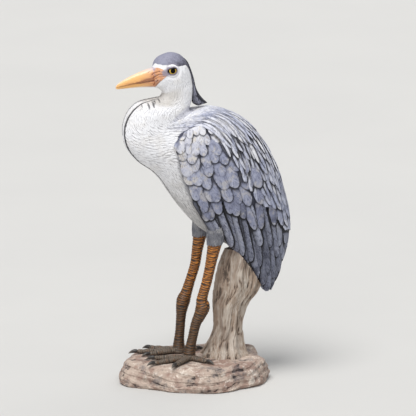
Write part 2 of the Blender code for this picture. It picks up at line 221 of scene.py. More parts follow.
# meshes
def makePiece(name, points, quads, material, facts, replaces=(), slot=None):
    mesh = bpy.data.meshes.new(name)
    points = np.asarray(points, float).reshape(-1, 3)
    mesh.vertices.add(len(points))
    mesh.vertices.foreach_set("co", points.ravel())
    corners = np.concatenate([q.ravel() for q in quads]).astype(np.int32)
    sizes = np.concatenate([np.full(len(q), q.shape[1], np.int32) for q in quads])
    mesh.loops.add(len(corners))
    mesh.loops.foreach_set("vertex_index", corners)
    mesh.polygons.add(len(sizes))
    mesh.polygons.foreach_set("loop_start", np.concatenate([[0], np.cumsum(sizes)[:-1]]).astype(np.int32))
    mesh.polygons.foreach_set("loop_total", sizes)
    mesh.update(calc_edges=True)
    mesh.validate()
    for key, values in facts.items():
        fact = mesh.attributes.new(key, "FLOAT", "POINT")
        fact.data.foreach_set("value", np.asarray(values, np.float32).ravel())
    mesh.shade_smooth()
    mesh.materials.append(material)
    piece = bpy.data.objects.new(name, mesh)
    bpy.context.scene.collection.objects.link(piece)
    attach(piece, "root")
    if replaces:
        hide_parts(*replaces)
    return piece


def gridQuads(rows, columns, wrap=False, start=0):  # quads of a grid of points, rows by columns
    r, c = np.meshgrid(np.arange(rows - 1), np.arange(columns if wrap else columns - 1), indexing="ij")
    a, b = r * columns + c, r * columns + (c + 1) % columns
    return np.stack([a, b, b + columns, a + columns], -1).reshape(-1, 4) + start


def loftPiece(name, lofts, material, facts, **extra):  # closed skins, each through loft[ring][point]
    if isinstance(lofts, np.ndarray):  # a single one
        lofts, facts = [lofts], {key: [value] for key, value in facts.items()}
    start, points, quads, values = 0, [], [], {key: [] for key in facts}
    for n, loft in enumerate(lofts):
        count, around = loft.shape[:2]
        k, last = np.arange(around), start + count * around
        ahead = (k + 1) % around
        points += [loft.reshape(-1, 3), loft[0].mean(0)[None], loft[-1].mean(0)[None]]
        quads += [gridQuads(count, around, True, start), np.stack([0 * k + last, start + ahead, start + k], -1),
                  np.stack([0 * k + last + 1, last - around + k, last - around + ahead], -1)]
        for key in facts:
            fact = facts[key][n]
            values[key] += [fact.ravel(), [fact[0].mean(), fact[-1].mean()]]
        start = last + 2
    values = {key: np.concatenate(value) for key, value in values.items()}
    return makePiece(name, np.concatenate(points), quads, material, values, **extra)


# the bird's body: rings across the side outline, front line to back line, in mm
bodyShape = {
    # front y, z; back y, z; half width; egg (above 0 is fuller at the back line)
    "stations": [
        (-72, 512.5, -76, 546.5, 11.6, -0.05), (-68, 510.5, -70, 560.5, 16.8, -0.10),
        (-65, 509, -57, 568.5, 20.5, -0.08),
        (-63, 508, -41, 571, 22.0, -0.05), (-61, 507, -24, 564, 22.5, 0.00), (-60, 505, -13, 546.5, 22.5, 0.00),
        (-59, 502, -7, 524.5, 22.0, 0.00), (-60, 499, -5, 506, 21.5, 0.00), (-64, 494, -7, 490.5, 23.0, 0.00),
        (-80, 491, -10, 479.5, 28.0, -0.05), (-101, 485, -11, 476, 35.0, -0.15),
        (-118, 467.5, -11.5, 474.5, 41.0, -0.20),
        (-126, 441, -11.5, 473, 44.0, -0.20), (-121, 411, -11, 472, 47.0, -0.15),
        (-103, 387, -8, 471.5, 50.0, -0.10),
        (-80, 370, 3, 472, 54.0, 0.00), (-63, 352, 25, 473, 58.0, 0.08), (-45, 325, 56, 463.5, 61.0, 0.12),
        (-21, 293, 92, 436.5, 61.0, 0.12), (5, 266, 121, 396, 56.0, 0.10), (35, 245.5, 142, 346, 47.0, 0.05),
        (68, 223.5, 153, 291.5, 36.0, 0.00), (92, 193.5, 153, 239.5, 22.0, 0.00),
        (109, 164, 143, 192, 11.0, 0.00),
        (119, 147.5, 127, 151, 4.0, 0.00),
    ],
    "roundness": 0.92,
    "skinUnderCoat": 0.5,  # mm the skin lies inside the solids
}


def bodyPoint(s, a, hang=0.0):  # on the body at station s; a is 0 on the back, pi in front, + on the left side
    fy, fz, by, bz, wide, egg = parts(smoothRows(bodyShape["stations"], s))
    power = bodyShape["roundness"] - hang * ease(1.55, 2.55, np.abs(a))
    across = np.sign(np.sin(a)) * np.abs(np.sin(a)) ** power
    up = np.cos(a)
    x = wide * across * (1 + egg * up)
    return np.stack([x, (fy + by) / 2 + (by - fy) / 2 * up, (fz + bz) / 2 + (bz - fz) / 2 * up], -1) * 0.001


def bodyAxes(s, a, hang=0.0, over=bodyPoint):  # metres per station and per radian there, and the outward normal
    step = 0.012
    perStation = (over(s + step, a, hang) - over(s - step, a, hang)) / (2 * step)
    perRadian = (over(s, a + step, hang) - over(s, a - step, hang)) / (2 * step)
    return perStation, perRadian, unit(np.cross(perRadian, perStation))


def overBody(s, a, height, over=bodyPoint):  # height in mm over the surface
    return over(s, a) + bodyAxes(s, a, 0.0, over)[2] * (np.asarray(height) * 0.001)[..., None]


# painted markings, by station and by radians down each side
markings = {
    "crown": [(0.1, 0.0), (0.66, 0.40), (1.1, 0.80), (1.8, 1.05), (2.56, 1.13), (3.1, 1.11), (3.6, 1.11),
              (4.0, 1.04), (4.34, 0.83), (4.6, 0.55), (5.1, 0.43), (5.6, 0.39), (6.1, 0.42), (6.8, 0.50),
              (7.7, 0.50), (8.6, 0.0)],
    "gapeAbove": [(0.0, 0.0), (0.35, 0.62), (0.67, 0.88), (1.36, 1.16), (2.03, 1.36), (2.69, 1.58), (2.94, 1.72)],
    "gapeBelow": [(0.0, 3.3), (0.3, 2.62), (0.89, 2.28), (1.46, 2.11), (2.35, 1.89), (2.94, 1.72)],
    "breastLine": [(8.0, 2.84), (8.6, 2.92), (9.1, 2.90), (9.95, 2.86), (10.65, 2.89), (11.2, 2.93),
                   (11.7, 2.97), (12.2, 2.98), (12.7, 2.97), (13.7, 2.94), (16.0, 2.95), (17.5, 3.0)],
    "breastLineWidth": [(7.9, 0.0), (8.4, 1.6), (9.2, 3.0), (10.4, 5.4), (11.5, 7.4), (12.5, 7.8), (13.5, 7.4),
                        (15.0, 6.4), (17.3, 2.0)],
    "shoulder": [(8.9, 0.30), (9.1, 0.55), (10.8, 0.79), (11.9, 1.03), (12.3, 1.22), (12.9, 1.29), (13.7, 1.22),
                 (14.1, 1.1), (15.0, 1.6), (15.97, 1.98), (16.86, 2.20), (17.76, 2.33), (18.75, 2.48),
                 (24.0, 2.6)],
    "streaks": [(-97, 484.5, 0.75), (-86.5, 485, 1.1), (-78.5, 487, 1.1), (-74.5, 490.5, 0.9),
                (-66.7, 492, 0.9)],  # y, z, size
    "streakShape": (1.9, 4.6), "eye": (-44.5, 543.5),  # half width and height of the streaks; y, z of the eye
    # the dark line before the eye: y from and to, z, rise for each mm, radius and its growth
    "lore": (-58.0, -49.0, 539.8, 0.18, 3.6, 0.14),
    "mouth": [(0, 1.50), (0.6, 1.52), (1.4, 1.56), (2.2, 1.63), (2.9, 1.72)],
    "crease": [(3.05, 1.74), (3.9, 1.74), (4.8, 1.50), (5.3, 1.13)],  # behind the corner of the mouth
    # folds round the nostril and the corner of the mouth, in the side view: start y, z; end y, z; depth, in mm
    "folds": [(-78, 535.6, -66, 542.6, 1.0), (-75, 531.6, -64, 538.0, 0.8), (-73, 529.2, -58, 534.4, 0.6),
              (-69, 527.0, -74.5, 517.6, 0.9), (-64.5, 526.0, -70, 518.6, 0.6), (-64, 541.6, -56, 538.4, 0.5),
              (-84, 538.6, -74, 543.4, 0.5)],
}


def foldsAt(y, z):  # how deep, 0..1, a spot of the side view lies in those folds, and how high on their lips
    deep, lips = 0.0, 0.0
    for y0, z0, y1, z1, much in markings["folds"]:
        wide, high = y1 - y0, z1 - z0
        t = np.clip(((y - y0) * wide + (z - z0) * high) / (wide**2 + high**2), 0, 1)
        away = np.hypot(y - mix(y0, y1, t), z - mix(z0, z1, t) - 0.9 * np.sin(t * np.pi))
        deep = np.maximum(deep, much * bump(away, 0, 0.75))
        lips = np.maximum(lips, much * bump(away, 1.9, 0.9))
    return deep, lips


def bodyFacts(s, a):  # signed distances in mm from the edges of the markings, above 0 inside
    x, y, z = parts(bodyPoint(s, a) * 1000)
    side, onSide = np.abs(halfTurn(a)), np.abs(x) > 6
    perRadian, outside = lengthOf(bodyAxes(s, a)[1]) * 1000, -9.0
    eyeY, eyeZ = markings["eye"]
    eye = np.where(onSide, np.hypot(y - eyeY, z - eyeZ), 99.0)
    crown = (lineAt(markings["crown"], s) - side) * perRadian
    gape = np.minimum(side - lineAt(markings["gapeAbove"], s), lineAt(markings["gapeBelow"], s) - side) * perRadian
    cornerS, cornerA = markings["gapeAbove"][-1]
    gape = np.where(s > cornerS, -(s - cornerS) * 8 - np.abs(side - cornerA) * 20, gape)
    middle, width = markings["breastLine"], markings["breastLineWidth"]
    line = lineAt(width, s) / 2 - np.abs(side - lineAt(middle, s)) * perRadian
    line = np.where((s < middle[0][0]) | (s > width[-1][0]), outside, line)
    streak = np.full(s.shape, outside)
    wide, high = markings["streakShape"]
    for middleY, middleZ, size in markings["streaks"]:
        away = np.hypot((y - middleY) / wide, (z - middleZ) / high)
        streak = np.maximum(streak, 2.6 * (size - away))
    streak = np.where(side < 2.9, streak, outside)
    start, end, height, climb, radius, growth = markings["lore"]
    loreY = np.clip(y, start, end)
    away = np.hypot(y - loreY, (z - height - (loreY - start) * climb) * 0.8)
    lore = np.where(onSide, radius + (loreY - start) * growth - away, outside)
    shoulder = np.where(s > 8.9, (lineAt(markings["shoulder"], s) - side) * perRadian, -20.0)
    return {"crown": crown, "gape": gape, "line": line, "streak": streak, "lore": lore, "eye": eye,
            "shoulder": shoulder, "station": s + 0 * side, "side": side}


skinLook = {
    "white": srgb(238, 238, 241), "warm": srgb(216, 210, 202), "groove": srgb(166, 163, 164),
    "ash": srgb(168, 168, 168),
    "crown": srgb(140, 140, 158), "crownDark": srgb(74, 73, 86), "black": srgb(38, 36, 44),
    "orange": srgb(216, 156, 112), "brown": srgb(122, 68, 48), "mauve": srgb(146, 137, 149),
    "pink": srgb(236, 200, 184),
    "lilac": srgb(204, 192, 202), "lid": srgb(112, 104, 116),
    "shoulder": srgb(206, 206, 214), "shoulderDark": srgb(120, 122, 140), "slate": srgb(78, 80, 96),
    "strokeDepth": 0.0004,
}


def paintSkin():
    m = Paint("paintedPlumage", skinLook)
    hollow, station, side, fold = m.facts("hollow", "station", "side", "fold")
    fine, broad = m.noise(0.0014, 4, stretch=(1, 1, 0.45)), m.noise(0.022, 3)
    ragged = (m.noise(0.004, 3, stretch=(1, 1, 0.5)) - 0.5) * 3.0
    strokes = m.noise(0.0040, 3, 0.6, (1.0, 0.55, 0.85), 0.8)
    # the grooves and hollows are washed grey: the figure's own wash and painted shade
    deep = (hollow + (fine - 0.5) * 0.5).ramp(0.0, 0.42)
    # darker and greyer towards the underside: partly dirt, partly painted shade
    belly = (-m.place().part(2)).ramp(-0.385, -0.28)
    # painted shadow of the head, warm grey, on the underside of the neck
    throatShadow = station.ramp(5.4, 6.8) * station.ramp(10.0, 8.8) * side.ramp(1.0, 2.1)
    m.start("white", "warm", broad.ramp(0.45, 0.7) * 0.3 + belly * 0.4 + throatShadow * 0.8)
    m.over("ash", belly * (broad + strokes * 0.6).ramp(0.50, 0.90) * 0.9 + throatShadow * 0.34)
    lines = (deep * 0.42 + strokes.ramp(0.46, 0.30) * 0.22) * (0.16 + station.ramp(5.6, 8.5) * 0.84)
    m.over("groove", lines * (1 + belly + throatShadow * 0.5))
    shadow = deep * 0.5 + strokes.ramp(0.5, 0.3) * 0.3 + station.ramp(13.5, 15.5) * 0.4
    grey = m.blend(m.blend("shoulder", "shoulderDark", shadow), "slate", station.ramp(14.6, 15.6))
    m.over(grey, (m.fact("shoulder") + ragged * 3.0).ramp(-12, 6))
    rear = station.ramp(2.8, 5.0) * 0.92 + side.ramp(0.55, 1.05) * station.ramp(2.0, 4.0) * 0.35
    cap = m.blend("crown", "crownDark", rear + (fine - 0.5) * 1.3 + (strokes - 0.5) * 1.3)
    m.over(cap, (m.fact("crown") + ragged * 0.45).ramp(-0.8, 0.8))
    m.over("black", (m.fact("line") + ragged * 0.6).ramp(-0.6, 0.9) * 0.92)
    m.over("black", (m.fact("streak") + ragged * 0.5).ramp(-0.3, 1.5) * 0.8)
    wash = m.noise(0.0045, 4, 0.6, (1, 0.35, 1), 1.2) - 0.5
    bare = m.blend("orange", "mauve", m.noise(0.006, 3, 0.5).ramp(0.46, 0.66) * 0.5)
    bare = m.blend(bare, "lilac", (wash * 0.5 - side).ramp(-1.15, -0.7))
    # pale pink streaks on the raised skin between the folds, also a painted highlight
    bare = m.blend(bare, "pink", (wash * 2.6 + (fine - 0.5) * 0.8 - fold).ramp(0.0, 0.6) * 0.8)
    # brown settles in the folds, the figure's wash and painted shade, and darkens the skin below the mouth line as
    # painted shade
    worn = (fold * 1.1 + (fine - 0.5) * 0.7 + wash * 1.2).ramp(0.12, 0.9)
    bare = m.blend(bare, "brown", worn * 0.78 + side.ramp(1.75, 2.15) * 0.4)
    gape = (m.fact("gape") + ragged * 0.6 + wash * 3.0).ramp(-0.5, 0.6)
    m.over(bare, gape)
    m.over("mauve", (m.fact("lore") + ragged * 0.3).ramp(-2.2, 0.8) * 0.92)
    m.over("mauve", (m.fact("eye") + (fine - 0.5) * 1.2).ramp(14.0, 10.5) * 0.45)
    rough = 0.56 + strokes * 0.12 - gape * 0.2
    return m.finish(rough=rough, normal=m.relief(strokes * 0.6 + fine * 0.4, skinLook["strokeDepth"]))


skinForm = {  # heights and depths in mm
    "underPlumes": 0.6, "underTail": 1.6, "lumps": 0.22, "socket": 3.4, "cap": 0.35, "face": 0.45,
    "lip": 0.5, "fold": 0.8, "mouth": 0.4, "pores": 0.25, "front": 0.3, "crease": 0.55,
}


def makeSkin(softRelief, material):
    stations = [np.linspace(*span, endpoint=False) for span in ((0, 8.6, 170), (8.6, 14.5, 90))]
    s = np.concatenate([*stations, np.linspace(14.5, 23.9, 56)])
    s, a = np.meshgrid(s, np.linspace(-np.pi, np.pi, 232, endpoint=False), indexing="ij")
    facts, p = bodyFacts(s, a), bodyPoint(s, a)
    side, gape = facts["side"], facts["gape"]
    form, lift = skinForm, np.full(s.shape, -bodyShape["skinUnderCoat"])
    lift -= form["underPlumes"] * ease(14.2, 15.5, s) + form["underTail"] * ease(19.5, 21.5, s)
    lift += form["lumps"] * cloud(p, 0.006, 3) * ease(0.5, 2.5, s)
    lift -= form["socket"] * ease(8.8, 7.4, facts["eye"])
    lift += form["cap"] * ease(-1.2, 0.6, facts["crown"]) * (s < 6.5)
    lift += form["face"] * ease(-0.8, 0.8, gape)
    bare = ease(-0.5, 1.5, gape)
    deep, lips = foldsAt(p[..., 1] * 1000, p[..., 2] * 1000)
    mouth = bump((side - lineAt(markings["mouth"], s)) * 24, 0, 0.9) * ease(2.9, 2.2, s)
    pores = cloud(p, 0.0022, 12) * ease(0.1, 0.9, s)
    folds = form["lip"] * lips - form["fold"] * deep - form["mouth"] * mouth + form["pores"] * pores
    lift += bare * (folds - form["front"] * ease(0.7, 0.0, s))
    facts["fold"] = np.clip(bare * np.maximum(deep, 0.8 * mouth), 0, 1)
    crease = bump((side - lineAt(markings["crease"], s)) * 22, 0, 1.1)
    lift -= form["crease"] * crease * ease(2.9, 3.3, s) * ease(5.5, 5.0, s)
    facts["hollow"] = hollowAt(softRelief, s, a, np.maximum(lift, 0))
    loftPiece("skin", overBody(s, a, lift), material, facts, slot="plumage_white",
              replaces=("head", "neck", "trunk", "tail"))


# feathers are closed, curved vanes laid over a surface, gathered into one coat for each part
def walk(s, a, turn, far, hang, over=bodyPoint):  # steps of far metres; a turn of 0 is tailward, pi/2 down
    perStation, perRadian, _ = bodyAxes(s, a, hang, over)
    perStep, tailward = lengthOf(perStation), unit(perStation)
    slant = (perRadian * tailward).sum(-1)
    radian = np.sin(turn) * far / lengthOf(perRadian - tailward * slant[..., None])
    return (np.cos(turn) * far - slant * radian) / perStep, radian


def turnAlong(s, a, hang, over=bodyPoint):  # the turn at each point of spines, one spine in each row
    perStation, perRadian, _ = bodyAxes(s, a, hang, over)
    way = perStation * np.gradient(s, axis=1)[..., None] + perRadian * np.gradient(a, axis=1)[..., None]
    tailward = unit(perStation)
    down = unit(perRadian - tailward * (perRadian * tailward).sum(-1, keepdims=True))
    return np.arctan2((way * down).sum(-1), (way * tailward).sum(-1))


def sideToBody(y, z, low=12.6, high=23.95):  # station and angle of a point of the side view, in mm
    s = np.linspace(low, high, 1400)
    fy, fz, by, bz = parts(smoothRows(bodyShape["stations"], s))[:4]
    off = ((y[..., None] - fy) * (bz - fz) - (z[..., None] - fz) * (by - fy)) / np.hypot(by - fy, bz - fz)
    i = np.clip(np.abs(off).argmin(-1), 1, len(s) - 2)
    before, here, after = (np.take_along_axis(off, (i + k)[..., None], -1)[..., 0] for k in (-1, 0, 1))
    slope = (after - before) / 2
    s = s[i] - np.clip(here / np.where(np.abs(slope) < 1e-6, 1, slope), -1, 1) * (s[1] - s[0])
    fy, fz, by, bz = parts(smoothRows(bodyShape["stations"], s))[:4]
    up = 2 * ((y - fy) * (by - fy) + (z - fz) * (bz - fz)) / ((by - fy) ** 2 + (bz - fz) ** 2) - 1
    return s, np.arccos(np.clip(up, -0.945, 0.995))


vaneShapes = {  # where the root's widening ends, its power, where the tip's narrowing starts, its two powers
    "scale": (0.22, 0.6, 0.50, 2.2, 0.5), "lance": (0.30, 0.7, 0.35, 2.0, 0.9),
    "plume": (0.25, 0.6, 0.48, 2.5, 0.65), "blade": (0.10, 0.5, 0.80, 2.2, 0.5),
}


def vaneWidth(shape, u):  # half width along the feather, 0 root to 1 tip
    rootEnd, rootPower, tipStart, tipPower, edgePower = vaneShapes[shape]
    tip = np.clip((u - tipStart) / (1 - tipStart), 0, 1) ** tipPower
    return np.maximum(np.clip(u / rootEnd, 0, 1) ** rootPower * (1 - tip) ** edgePower, 0.03)


def stepsAlong(rows):
    return 1 - (1 - np.linspace(0, 1, rows)) ** 1.4


def spinesFromSide(look, tips, lengths, aims, bends):  # spines of feathers given by their tips in the side view
    u = stepsAlong(look["rows"])[None, :]
    back = lengths[:, None] * (1 - u)
    bow = bends[:, None] * lengths[:, None] * (u * (1 - u)) * 4
    y = tips[:, :1] - np.cos(aims)[:, None] * back - np.sin(aims)[:, None] * bow
    z = tips[:, 1:] - np.sin(aims)[:, None] * back + np.cos(aims)[:, None] * bow
    return sideToBody(y, z)


def spinesFromRoots(look, s, a, turn, length, bend):  # spines that walk over the surface from their roots
    steps, spine = stepsAlong(look["rows"]), [(s, a)]
    for share in np.diff(steps):
        far = length * 0.001 * share
        ds, da = walk(s, a, turn + bend * share / 2, far, look.get("hang", 0.0), look.get("over", bodyPoint))
        s, a, turn = s + ds, a + da, turn + bend * share
        spine.append((s, a))
    return [np.stack(part, 1) for part in zip(*spine)]


def bothFaces(values, shape):  # a fact of the upper face, given to the lower one too
    return np.broadcast_to(values, shape)[:, None].repeat(2, 1)


def feathers(look, spine, width, length, side=1, lift=0.0, fall=None, **tags):  # mesh data of a group of feathers
    s, a = (part[..., None] for part in spine)  # feather, row, column
    count, rows, columns = grid = (len(s), look["rows"], look["columns"])
    hang, over = look.get("hang", 0.0), look.get("over", bodyPoint)
    turn = turnAlong(*spine, hang, over)[..., None]
    u, v = stepsAlong(rows)[None, :, None], np.linspace(-1, 1, columns)[None, None, :]
    width, length, lift = (np.broadcast_to(k, (count,))[:, None, None] for k in (width, length, lift))
    half = width / 2 * vaneWidth(look["shape"], u)
    if "ragged" in look:  # wavy edges
        spots = np.broadcast_arrays(u * length / 3.4, np.sign(v) * 7.0, np.arange(count)[:, None, None] * 3.7)
        half = half * (1 + look["ragged"] * cloud(np.stack(spots, -1), 1.0, 21) * np.abs(v))
    ds, da = walk(s + 0 * v, a + 0 * v, turn + np.pi / 2 + 0 * v, v * half * 0.001, hang, over)
    s, a, full = s + ds, a + da, half / width * 2
    raised = look["root"] + (look["rise"] + lift) * u ** look.get("power", 1.0) + look.get("tilt", 0.0) * v * full
    if fall:
        raised = raised - fall(s, a)
    top = raised + look["camber"] * full * (1 - np.abs(v) ** 2.2)
    top = top + look.get("shaft", 0.0) * full * bump(v, 0, 0.14) * (1 - u**3)
    low = raised - look["thick"] * (1 - 0.6 * np.maximum(np.abs(v) ** 4, u**12))
    point, normal = over(s, a, hang), bodyAxes(s, a, hang, over)[2]
    points = np.stack([point + normal * (k * 0.001)[..., None] for k in (top, low)], 1)
    each = rows * columns
    rim = np.concatenate([np.arange(columns), np.arange(1, rows) * columns + columns - 1,
                          each - 1 - np.arange(1, columns), (rows - 2 - np.arange(rows - 2)) * columns])
    after, face = np.roll(rim, -1), gridQuads(rows, columns)
    quads = np.concatenate([face[:, ::-1], each + face, np.stack([rim, after, after + each, rim + each], -1)])
    quads = (np.arange(count) * 2 * each)[:, None, None] + quads[None]
    facts = {"along": u, "reach": u * length, "across": v, "aside": v * half}
    facts.update((key, np.asarray(value)[:, None, None]) for key, value in tags.items())
    return {"points": (points * (side, 1, 1)).reshape(-1, 3), "quads": quads[..., ::side].reshape(-1, 4),
            "facts": {key: bothFaces(value, grid) for key, value in facts.items()}, "grid": grid,
            "spots": (s, a * side), "top": top, "onBody": over is bodyPoint, "size": (length.max(), width.max())}


def plainFeathers(*args):  # feathers whose paint needs no barbs
    group = feathers(*args)
    group["facts"] = {"along": group["facts"]["along"]}
    return group


# how deep each spot of the coat lies among its neighbours, for the dark wash and painted shade in the hollows and
# the dry-brushed paint and painted highlight on the edges
reliefMap = {"perStation": 50, "perRadian": 100, "blur": 3, "shape": (1200, 629), "depth": 1.6,
             "sample": 0.45}  # mm


def reliefCells(s, a):
    rows, columns = reliefMap["shape"]
    i = np.clip((s * reliefMap["perStation"]).astype(int), 0, rows - 1)
    return i, ((halfTurn(a) + np.pi) * reliefMap["perRadian"]).astype(int) % columns


def finer(values, byRow, byColumn):  # the same grids with more rows and columns
    rows, columns = values.shape[1:]
    r, c = (np.linspace(0, n - 1, (n - 1) * by + 1) for n, by in ((rows, byRow), (columns, byColumn)))
    i, j = np.minimum(r.astype(int), rows - 2), np.minimum(c.astype(int), columns - 2)
    down = mix(values[:, i], values[:, i + 1], (r - i)[None, :, None])
    return mix(down[..., j], down[..., j + 1], c - j)


def readRelief(groups):  # a map of the coat's height over the body, and the same map made soft
    field, blur = np.zeros(reliefMap["shape"]), reliefMap["blur"]
    for g in groups:
        if g["onBody"]:
            by = [int(np.ceil(size / n / reliefMap["sample"])) for size, n in zip(g["size"], g["grid"][1:])]
            s, a, top = (finer(values, *by).ravel() for values in (*g["spots"], g["top"]))
            np.maximum.at(field, reliefCells(s, a), top)
    soft = np.max([np.roll(field, (i, j), (0, 1)) for i in (-1, 0, 1) for j in (-1, 0, 1)], axis=0)
    for axis in (0, 1, 0, 1):
        soft = sum(np.roll(soft, k, axis) for k in range(-blur, blur + 1)) / (2 * blur + 1)
    return soft


def hollowAt(soft, s, a, height):  # above 0 in hollows, below 0 on raised edges
    i, j = reliefCells(s, a)
    return np.clip((soft[i, j] - height) / reliefMap["depth"], -1, 1)


coatPlans = []  # name, groups, material and the rest of each coat, built when all are planned


def planCoat(name, groups, material, **extra):
    coatPlans.append((name, groups, material, extra))


def makeCoats():
    soft = readRelief([g for plan in coatPlans for g in plan[1]])
    for name, groups, material, extra in coatPlans:
        for g in groups:
            loose = 0.6 - 1.1 * g["facts"]["along"][:, 0]
            hollow = hollowAt(soft, *g["spots"], g["top"]) if g["onBody"] else loose
            g["facts"]["hollow"] = np.stack([hollow, np.ones_like(hollow)], 1)
        makeCoat(name, groups, material, **extra)
    return soft


def makeCoat(name, groups, material, **extra):  # one piece of several groups of feathers, with a patch for each
    start, points, quads, facts, patches = 0, [], [], {}, []
    across, done = int(np.ceil(np.sqrt(sum(g["grid"][0] for g in groups)))), 0
    for g in groups:
        count, rows, columns = g["grid"]
        points.append(g["points"])
        quads.append(g["quads"] + start)
        start += len(g["points"])
        for key, value in g["facts"].items():
            facts.setdefault(key, []).append(value.ravel())
        v, u = np.meshgrid(np.linspace(0.06, 0.94, rows), np.linspace(0.06, 0.94, columns), indexing="ij")
        n = done + np.arange(count)
        corner = np.stack([n % across, n // across], -1)[:, None, None]
        patch = (corner + np.stack([u, v], -1).reshape(1, 1, -1, 2)) / across
        patches.append(np.broadcast_to(patch, (count, 2, rows * columns, 2)).reshape(-1, 2))
        done += count
    facts = {key: np.concatenate(value) for key, value in facts.items()}
    piece = makePiece(name, np.concatenate(points), [np.concatenate(quads)], material, facts, **extra)
    bakeMap(piece.data, np.concatenate(patches))


def bakeMap(mesh, places):  # a flat map of the piece, by vertex
    loops = np.empty(len(mesh.loops), np.int32)
    mesh.loops.foreach_get("vertex_index", loops)
    mesh.uv_layers.new(name="OFBake").data.foreach_set("uv", places[loops].ravel().astype(np.float32))


def paintFeather(name, look, tones):
    m = Paint(name, look)
    reach, tip, across, tint, shade, hollow = m.facts("reach", "along", "across", "tint", "shade", "hollow")
    aside = abs(m.fact("aside"))
    worn, mottle, speck = m.noise(0.007, 4, 0.6), m.noise(0.017, 3, 0.5), m.noise(0.0012, 3, 0.6)
    grain, patches = m.noise(0.0034, 4, 0.65), m.noise(0.013, 3, 0.5)
    cos, sin, fine = math.cos(look["slant"]), math.sin(look["slant"]), look["barbEvery"]
    barb, run = reach * cos - aside * sin, reach * sin + aside * cos
    where = m.node("CombineXYZ", {}, {0: barb * (1 / fine), 1: run * (0.22 / fine), 2: tint * 40.0})
    barbs = m.noise(1.0, 3, 0.6, at=where)
    step = shade + (mottle - 0.5) * look["mottle"] + (tint - 0.5) * 0.25 + (worn - 0.5) * 0.35
    stops = [(k / (len(tones) - 1), tone) for k, tone in enumerate(tones)]
    m.color = m.node("ValToRGB", {"stops": stops}, {0: step + (grain - 0.5) * look["grain"]})
    m.over("cream", (patches + (grain - 0.5) * 0.5).ramp(0.48, 0.66) * (0.95 - shade) * look["creamShare"])
    lines = (barbs + (speck - 0.5) * 0.25).ramp(0.49, 0.38)
    m.over(m.color * look["barbTint"], lines * (0.25 + grain * 0.9) * look["barbShare"])
    # raised parts and edges of each feather take a light tone: dry-brushed paint and painted highlight
    brushed = (grain * 0.7 + worn * 0.4 + barbs - 0.5 + (speck - 0.5) * 0.4).ramp(0.58, 0.86)
    m.over("frostHighlight", brushed * hollow.ramp(0.20, -0.30) * look["frostHighlightShare"])
    edge = (abs(across).ramp(0.72, 0.95) + tip.ramp(0.88, 0.98)).clamp() * tip.ramp(0.15, 0.5)
    m.over("frostHighlight", (edge * (0.25 + brushed) * hollow.ramp(0.1, -0.35)).clamp() * look["frostHighlightShare"])
    # a dark wash in the hollows and under overlapping tips: the figure's own wash and painted shade
    deep = (hollow + (speck - 0.5) * 0.5).ramp(*look["deepFrom"]) * (1 - m.fact("soft") * 0.8)
    m.over("wash", deep * look["washShadeShare"])
    quill = aside.ramp(0.8, 0.2) * tip.ramp(0.97, 0.8)
    height = barbs * 0.7 + quill * look["quill"] + speck * 0.2 + grain * 0.3
    return m.finish(rough=0.66 - barbs * 0.1 + worn * 0.14, normal=m.relief(height, look["depth"]))


# folded wings: rounded coverts in rows, long slats below them
barbTint = (0.34, 0.34, 0.40)  # how a barb's line darkens the colour under it

